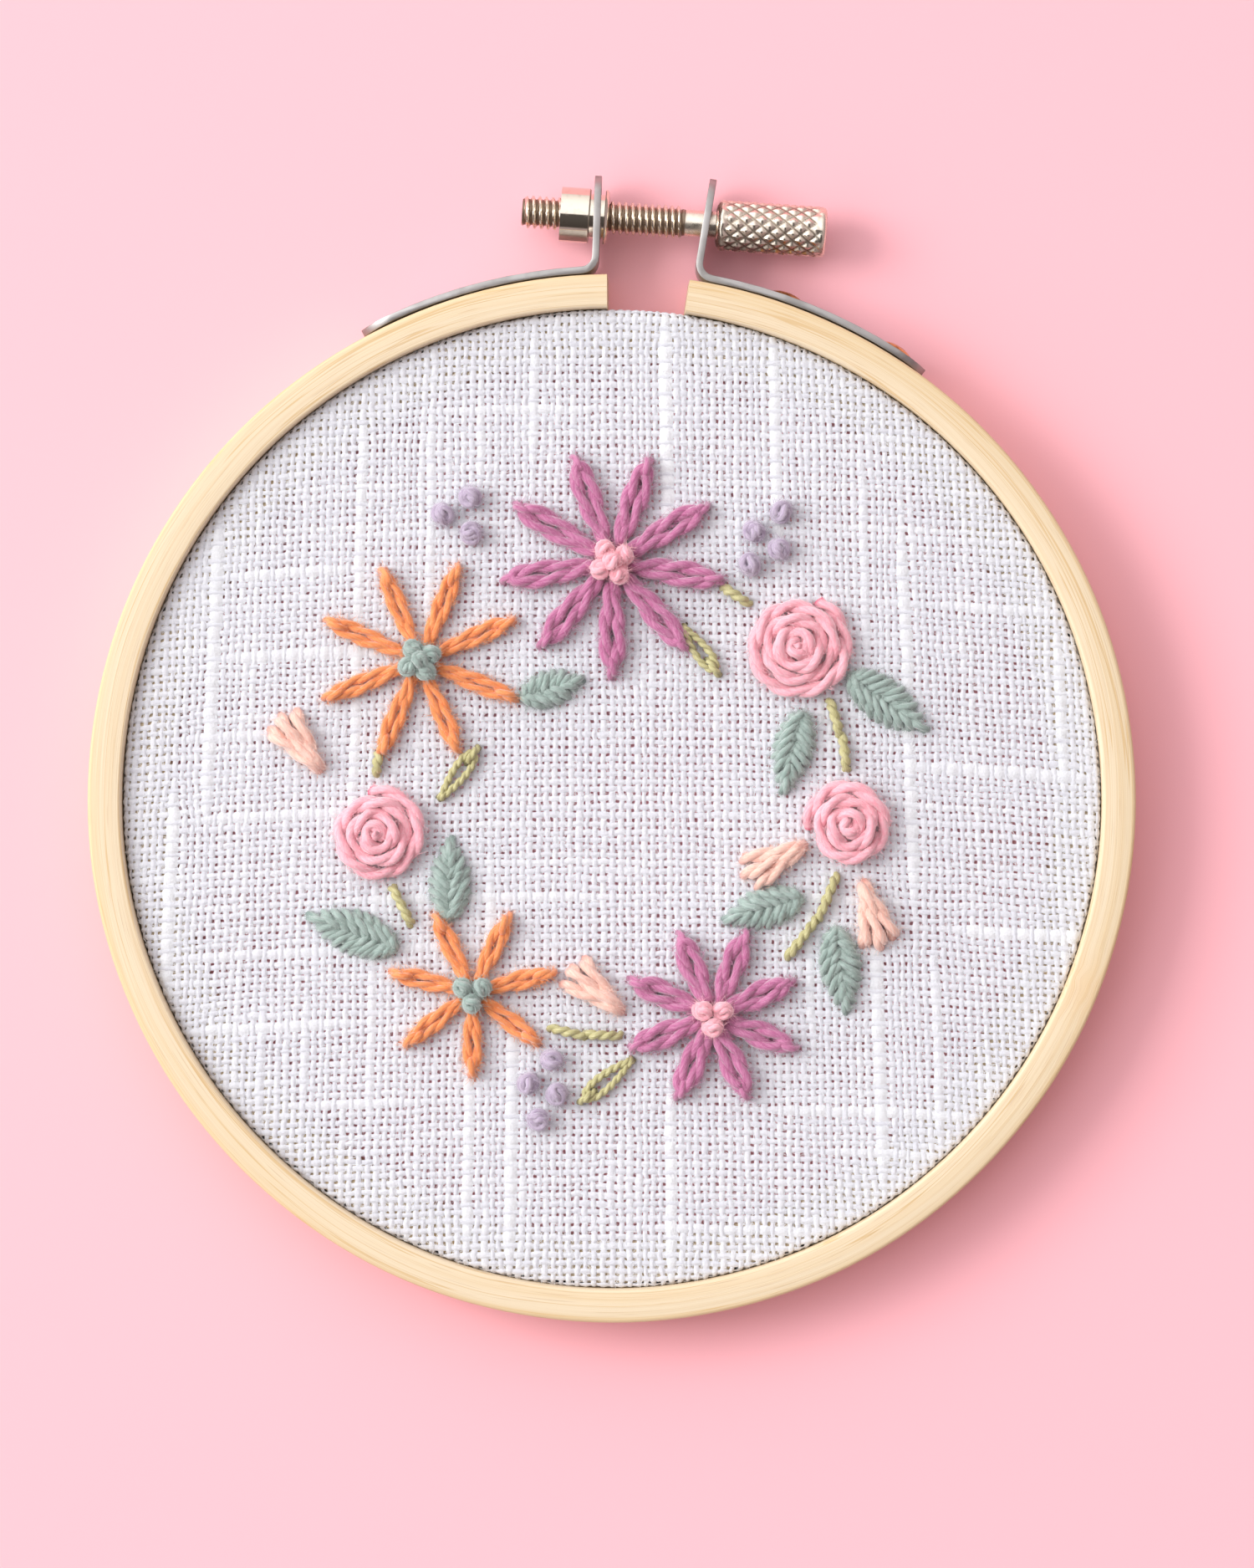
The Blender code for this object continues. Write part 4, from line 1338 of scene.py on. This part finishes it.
@dataclass
class Stitcher:
    """Makes the paths of the stitches on the cloth."""

    base: float  # height of the cloth's top
    depth: float = 0.9  # how far a thread's end goes down its hole

    def point(self, place: Vector, height: float) -> np.ndarray:
        """Point over the cloth."""
        return np.array((place.x, place.y, self.base + height))

    def straight(self, start: Vector, end: Vector, yarn: Yarn, lift: float = 0.0) -> Points:
        """Stitch from one hole to another, lying on the cloth in between."""
        run = end - start
        along = run.normalized()
        top = yarn.radius * 0.85 + lift
        near = min(0.9, run.length * 0.25)
        return np.array(
            [
                self.point(start, -self.depth),
                self.point(start + along * 0.1, -0.2 + lift * 0.5),
                self.point(start + along * near, top * 0.9),
                self.point(start + run * 0.5, top),
                self.point(end - along * near, top * 0.9),
                self.point(end - along * 0.1, -0.2 + lift * 0.5),
                self.point(end, -self.depth),
            ]
        )

    def chain(
        self, start: Vector, end: Vector, half: float, yarn: Yarn, lift: float = 0.0
    ) -> Points:
        """Loop from a hole out to a tip and back, as in a lazy daisy's petal."""
        run = end - start
        across = Vector((run.y, -run.x, 0)).normalized()
        tip = run.length - yarn.radius
        along = run.normalized()
        rows = [self.point(start + across * 0.25, -self.depth)]
        steps = 18
        for k in range(1, steps):
            turn = 2 * pi * k / steps
            reach = tip * (1 - cos(turn)) / 2
            off = half * sin(turn) * abs(sin(turn / 2)) ** 1.1
            height = yarn.radius * 0.85 + lift
            if k in (1, steps - 1):
                height *= 0.8
            rows.append(self.point(start + along * reach + across * off, height))
        rows.append(self.point(start - across * 0.25, -self.depth))
        return np.array(rows)

    def knot(self, middle: Vector, size: float, yarn: Yarn, turn: float, lift: float) -> Points:
        """French knot: the thread comes up, winds round itself and crosses over its own top."""
        rows = [self.point(middle, -0.6 + lift)]
        turns, steps = 1.55, 18
        angle = turn
        for k in range(steps + 1):
            share = k / steps
            angle = turn + 2 * pi * turns * share
            radius = size * (1.0 - 0.12 * share)
            height = lift + yarn.radius * (0.75 + 1.05 * share) + 0.14 * sin(angle)
            rows.append(self.point(middle + self._heading(angle) * radius, height))
        for ahead, share, height in ((0.9, 0.4, 2.4), (2.6, 0.3, 2.35), (2.9, 0.8, 1.3)):
            place = middle + self._heading(angle + ahead) * size * share
            rows.append(self.point(place, lift + yarn.radius * height))
        rows.append(self.point(middle + self._heading(angle + pi) * size * 0.9, lift - 0.3))
        return np.array(rows)

    @staticmethod
    def _heading(angle: float) -> Vector:
        """Direction on the cloth, counted from +X towards +Y."""
        return Vector((cos(angle), sin(angle), 0))

    def rose(self, middle: Vector, reach: float, yarn: Yarn, turn: float) -> Points:
        """Woven wheel: a spiral that dips under and rises over its spokes."""
        pitch = yarn.radius * 1.74
        turns = (reach - yarn.radius - 0.2) / pitch
        steps = int(turns * 20)
        rows = [self.point(middle, -0.4)]
        for k in range(steps + 1):
            share = k / steps
            angle = turn + 2 * pi * turns * share
            radius = 0.25 + (reach - yarn.radius - 0.25) * share
            crown = 1.15 * (1 - share**1.6)
            weave = 0.32 * cos(2.5 * (angle - turn)) * min(1.0, 3 * share)
            radius += 0.07 * sin(3.3 * angle + turn) * min(1.0, 3 * share)
            place = middle + self._heading(angle) * radius
            rows.append(self.point(place, yarn.radius * 0.9 + crown + weave))
        place = middle + self._heading(angle + 0.35) * (reach - yarn.radius)
        rows.append(self.point(place, -0.5))
        return np.array(rows)


@dataclass
class Wreath:
    """All stitched motifs, each laid where its CAD node lies."""

    hoop: Hoop
    nodes: Mapping[str, bpy.types.Object]
    vine_r: float = 25.0
    rng: np.random.Generator = field(default_factory=lambda: np.random.default_rng(SEED + 1))
    makers: dict[str, Callable[[str, Skein], None]] = field(init=False)
    stitcher: Stitcher = field(init=False)

    def __post_init__(self) -> None:
        """Set up the stitcher and the way each kind of motif is worked."""
        self.stitcher = Stitcher(self.hoop.cloth_top - 0.05)
        self.makers = {
            "plum_flower": self._plum_flower,
            "plum_eye": self._eye,
            "orange_star": self._orange_star,
            "orange_eye": self._eye,
            "pink_rose": self._rose,
            "sage_leaf": self._sage_leaf,
            "olive_leaf": self._olive_leaf,
            "peach_bud": self._peach_bud,
            "lavender_knot": self._knot,
            "vine": self._vine,
        }

    def build(self, materials: Mapping[Thread, bpy.types.Material]) -> list[bpy.types.Object]:
        """Stitch every motif node of the frame."""
        made = []
        for name in sorted(self.nodes):
            kind = name.rsplit("_", 1)[0]
            if kind not in self.makers:
                continue
            skein = Skein(self.rng)
            self.makers[kind](name, skein)
            thread = self._thread(kind)
            piece = skein.cast(name + "_stitches")
            made.append(dress(piece, materials[thread], "hoop", [name]))
        return made

    @staticmethod
    def _thread(kind: str) -> Thread:
        """Thread that a kind of motif is worked in."""
        special = {"plum_eye": Thread.PINK, "orange_eye": Thread.SAGE, "vine": Thread.OLIVE}
        return special.get(kind) or Thread[kind.split("_")[0].upper()]

    def _points(self, name: str) -> list[Vector]:
        """Points of a CAD node in millimetres, without their height."""
        return [Vector((v.co.x / MM, v.co.y / MM, 0)) for v in self.nodes[name].data.vertices]

    def _middle(self, name: str) -> Vector:
        """Middle of a CAD node's box, without its height."""
        low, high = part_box(name)
        middle = (low + high) / 2 / MM
        return Vector((middle.x, middle.y, 0))

    def _reach(self, name: str) -> float:
        """Half of a round CAD node's width."""
        low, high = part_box(name)
        return (high.x - low.x) / 2 / MM

    def _tips(self, name: str, eye: str) -> tuple[Vector, list[Vector]]:
        """Middle of a petalled flower and the tip of each petal, in clock order."""
        middle = self._middle(eye)
        points = self._points(name)
        reach = max((p - middle).length for p in points)
        angles = sorted(
            atan2(p.x - middle.x, p.y - middle.y)
            for p in points
            if (p - middle).length > reach * 0.93
        )
        groups: list[list[float]] = []
        for angle in angles:
            if groups and angle - groups[-1][-1] < 0.2:
                groups[-1].append(angle)
            else:
                groups.append([angle])
        if len(groups) > 1 and groups[0][0] + 2 * pi - groups[-1][-1] < 0.2:
            groups[0] += [angle - 2 * pi for angle in groups.pop()]
        petals = [(min(group) + max(group)) / 2 for group in groups]
        return middle, [middle + Vector((sin(a), cos(a), 0)) * reach for a in petals]

    def _plum_flower(self, name: str, skein: Skein) -> None:
        """Petals of one broad loop each, tied down at the tip."""
        middle, tips = self._tips(name, name.replace("flower", "eye"))
        for k, tip in enumerate(tips):
            run = tip - middle
            start = middle + run * 0.16
            lift = 0.12 * (k % 2)
            end = middle + run * self.rng.uniform(0.95, 1.0)
            skein.lay(self.stitcher.chain(start, end, 0.98, WOOL, lift), WOOL)
            self._tie(skein, end, run.normalized(), THIN_WOOL)

    def _orange_star(self, name: str, skein: Skein) -> None:
        """Petals of one narrow loop each."""
        middle, tips = self._tips(name, name.replace("star", "eye"))
        for tip in tips:
            run = tip - middle
            start = middle + run * 0.14
            end = middle + run * self.rng.uniform(0.94, 1.0)
            skein.lay(self.stitcher.chain(start, end, 0.72, THIN_WOOL), THIN_WOOL)
            self._tie(skein, end, run.normalized(), THIN_WOOL)

    def _tie(self, skein: Skein, tip: Vector, along: Vector, yarn: Yarn) -> None:
        """Short stitch that holds a loop's tip down."""
        path = self.stitcher.straight(tip - along * 1.7, tip + along * 0.35, yarn, yarn.radius)
        skein.lay(path, yarn)

    def _eye(self, name: str, skein: Skein) -> None:
        """Cluster of knots on a flower's middle."""
        middle = self._middle(name)
        reach = self._reach(name)
        rest = (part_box(name)[0].z / MM) - self.hoop.cloth_top - 1.0
        ring = 4 if reach > 2.5 else 3
        for k in range(ring):
            angle = 2 * pi * k / ring + 0.6
            place = middle + Vector((cos(angle), sin(angle), 0)) * reach * 0.5
            self._lay_knot(skein, place, rest, 0.62)
        if ring == 4:
            self._lay_knot(skein, middle, rest + 0.5, 0.6)

    def _lay_knot(self, skein: Skein, place: Vector, lift: float, size: float) -> None:
        """One French knot with a turn of its own."""
        turn = self.rng.uniform(0, 2 * pi)
        skein.lay(self.stitcher.knot(place, size, THIN_WOOL, turn, lift), THIN_WOOL, 0.5)

    def _knot(self, name: str, skein: Skein) -> None:
        """A single French knot on the cloth."""
        self._lay_knot(skein, self._middle(name), 0.0, 0.78)

    def _rose(self, name: str, skein: Skein) -> None:
        """Woven rose."""
        turn = self.rng.uniform(0, 2 * pi)
        path = self.stitcher.rose(self._middle(name), self._reach(name), WOOL, turn)
        skein.lay(path, WOOL, 0.6)

    def _axis(self, name: str) -> tuple[Vector, Vector, float]:
        """Foot, tip and half width of a leaf's CAD node; its foot is the end nearer the vine."""
        points = self._points(name)
        ends = max(
            ((a, b) for a in points for b in points), key=lambda pair: (pair[0] - pair[1]).length
        )
        foot, tip = sorted(ends, key=lambda p: abs((p - self.hoop.centre).length - self.vine_r))
        across = Vector((tip.y - foot.y, foot.x - tip.x, 0)).normalized()
        half = max(abs((p - foot).dot(across)) for p in points)
        return foot, tip, half

    def _sage_leaf(self, name: str, skein: Skein) -> None:
        """Fishbone leaf: slanted stitches from the edges down to the middle vein."""
        foot, tip, half = self._axis(name)
        run = tip - foot
        along = run.normalized()
        across = Vector((along.y, -along.x, 0))
        skein.lay(self.stitcher.straight(foot + run * 0.62, tip, THIN_WOOL), THIN_WOOL)
        pairs = max(4, round(run.length / 1.15))
        for k in range(pairs):
            share = 0.86 - 0.78 * k / (pairs - 1)
            wide = half * max(sin(pi * min(share + 0.06, 1.0)) ** 0.7, 0.3)
            for side in (-1, 1):
                edge = foot + run * share + across * side * wide
                vein = foot + run * max(share - 0.24, 0.0) - across * side * 0.15
                lift = 0.10 if side > 0 else 0.0
                skein.lay(self.stitcher.straight(edge, vein, THIN_WOOL, lift), THIN_WOOL, 0.6)

    def _olive_leaf(self, name: str, skein: Skein) -> None:
        """One loop of pearl cotton, tied down at its tip."""
        foot, tip, half = self._axis(name)
        skein.lay(self.stitcher.chain(foot, tip, half * 0.75, THIN_PEARL), THIN_PEARL)
        self._tie(skein, tip, (tip - foot).normalized(), THIN_PEARL)

    def _peach_bud(self, name: str, skein: Skein) -> None:
        """Three loops that spread from one foot."""
        foot, tip, half = self._axis(name)
        run = tip - foot
        across = Vector((run.y, -run.x, 0)).normalized()
        for side, share in ((-1, 0.92), (1, 0.92), (0, 1.0)):
            end = foot + run * share + across * side * half * 0.8
            lift = 0.0 if side else 0.25
            skein.lay(self.stitcher.straight(foot, end, WOOL, lift), WOOL)

    def _vine(self, name: str, skein: Skein) -> None:
        """Row of back stitches in pearl cotton along the vine's arc."""
        clocks = [self.hoop.clock_of(p) for p in self._points(name)]
        start, end = min(clocks), max(clocks)
        number = max(1, round((end - start) * self.vine_r / 4.6))
        for k in range(number):
            a = start + (end - start) * k / number
            b = start + (end - start) * (k + 1) / number
            first = self.hoop.at(self.vine_r + self.rng.uniform(-0.15, 0.15), a, 0)
            last = self.hoop.at(self.vine_r + self.rng.uniform(-0.15, 0.15), b, 0)
            skein.lay(self.stitcher.straight(first, last, PEARL), PEARL, 0.5)


@dataclass
class Studio:
    """Pale floor, soft light and the camera straight above, framed as in the photo."""

    face: float = 8.0  # height that the photo's scale is measured at
    view_height: float = 164.7  # millimetres that the frame's long side covers there
    aim_right: float = 1.58  # frame's middle from the hoop's, in the photo's directions
    aim_up: float = 1.54
    distance: float = 560.0
    sensor: float = 36.0
    floor_colour: Colour = paint(250, 183, 190)
    floor_size: float = 3000.0
    floor_gap: float = 0.03  # how far under the hoop's back the floor lies
    key_place: tuple[float, float, float] = (-850.0, 165.0, 680.0)
    key_size: float = 520.0
    key_power: float = 7.8
    sky_strength: float = 1.75
    sky_stops: tuple[tuple[float, Colour], ...] = (
        (0.0, (0.27, 0.22, 0.23, 1.0)),
        (0.35, (0.60, 0.57, 0.58, 1.0)),
        (0.8, (1.0, 1.03, 1.07, 1.0)),
    )

    def build(self, hoop: Hoop) -> None:
        """Set up the camera, the lights and the floor."""
        self._camera(hoop)
        self._floor()
        self._window(hoop)
        self._world()

    def _camera(self, hoop: Hoop) -> None:
        """Camera looking straight down, turned as the photo is."""
        right = Vector((cos(ART_TURN), sin(ART_TURN), 0))
        up = Vector((-sin(ART_TURN), cos(ART_TURN), 0))
        place = hoop.centre + right * self.aim_right + up * self.aim_up
        place.z = self.face + self.distance
        bpy.ops.object.camera_add(location=place * MM, rotation=(0, 0, ART_TURN))
        camera = bpy.context.object
        camera.name = "camera"
        camera.data.sensor_width = self.sensor
        camera.data.lens = self.sensor * self.distance / self.view_height
        camera.data.clip_start = 0.01
        bpy.context.scene.camera = camera

    def _floor(self) -> None:
        """Plain pale floor just under the hoop."""
        bpy.ops.mesh.primitive_plane_add(
            size=self.floor_size * MM, location=-UP * self.floor_gap * MM
        )
        floor = bpy.context.object
        floor.name = "floor"
        paper = Finish("floor_paper")
        floor.data.materials.append(
            paper.done(Base_Color=self.floor_colour, Roughness=0.9, Specular_IOR_Level=0.1)
        )

    def _window(self, hoop: Hoop) -> None:
        """Large soft light from the left, aimed at the hoop's middle."""
        place = (hoop.centre + Vector(self.key_place)) * MM
        aim = (hoop.centre * MM - place).to_track_quat("-Z", "Y").to_euler()
        bpy.ops.object.light_add(type="AREA", location=place, rotation=aim)
        light = bpy.context.object
        light.name = "window_light"
        light.data.size = self.key_size * MM
        light.data.energy = self.key_power

    def _world(self) -> None:
        """Soft room light, brightest towards the window, with a dark camera stand overhead."""
        scene = bpy.context.scene
        scene.world = scene.world or bpy.data.worlds.new("room")
        scene.world.use_nodes = True
        scene.world.node_tree.nodes.clear()
        g = Graph(scene.world.node_tree)
        x, y, z = g.split(g.node("ShaderNodeTexCoord", output="Generated"))
        window = x * -0.70 + y * 0.30 + z * 0.60
        colour = g.node("ShaderNodeValToRGB", {0: window}, stops=self.sky_stops)
        lean = g.node("ShaderNodeMath", {0: y * -1.0, 1: z}, operation="ARCTAN2")
        stand = g.range(lean, 0.0, 0.08, 0.0, 1.0) * g.range(lean, 1.0, 1.15, 1.0, 0.0)
        stand = stand * g.range(x * x, 0.10, 0.20, 1.0, 0.0)
        colour = g.mix(stand * 0.95, colour, paint(40, 36, 34))
        sky = g.node("ShaderNodeBackground", {"Color": colour, "Strength": self.sky_strength})
        g.node("ShaderNodeOutputWorld", {"Surface": sky}, output=None)
        scene.view_settings.view_transform = "Standard"


def main() -> None:
    """Dress the whole hoop and set up the studio."""
    logging.basicConfig(level=logging.INFO, format="%(name)s %(message)s")
    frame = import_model()
    hoop = Hoop()
    Studio().build(hoop)
    bamboo = BambooFinish(hoop.centre.y).material()
    steel = SteelFinish().material()
    polished = NickelFinish("polished_nickel", smooth=0.06, rubbed=0.16).material()
    satin = NickelFinish("satin_nickel", smooth=0.22, rubbed=0.34).material()
    brass = BrassFinish().material()
    linen = LinenFinish().material()
    threads = {thread: thread.value.material() for thread in Thread}
    outer = BambooRing(
        "outer_ring", inner_r=51.6, outer_r=55.12, height=8.0, edge=0.4, opening=radians(4.4)
    )
    inner = BambooRing("inner_ring", inner_r=46.6, outer_r=51.1, height=6.25, edge=0.2)
    outer.build(hoop, bamboo)
    inner.build(hoop, bamboo)
    for node in ("clasp_plate_left", "clasp_plate_right"):
        ClaspPlate(node).build(frame, steel)
    ThreadBush().build(hoop, polished)
    ThumbScrew().build(hoop, satin)
    for name in sorted(frame["nodes"]):
        if name.startswith("rivet_"):
            Rivet(name, dome=0.14 if "left" in name else 0.5).build(hoop, brass)
    WovenLinen().build(hoop, linen)
    Wreath(hoop, frame["nodes"]).build(threads)


if __name__ == "__main__":
    main()
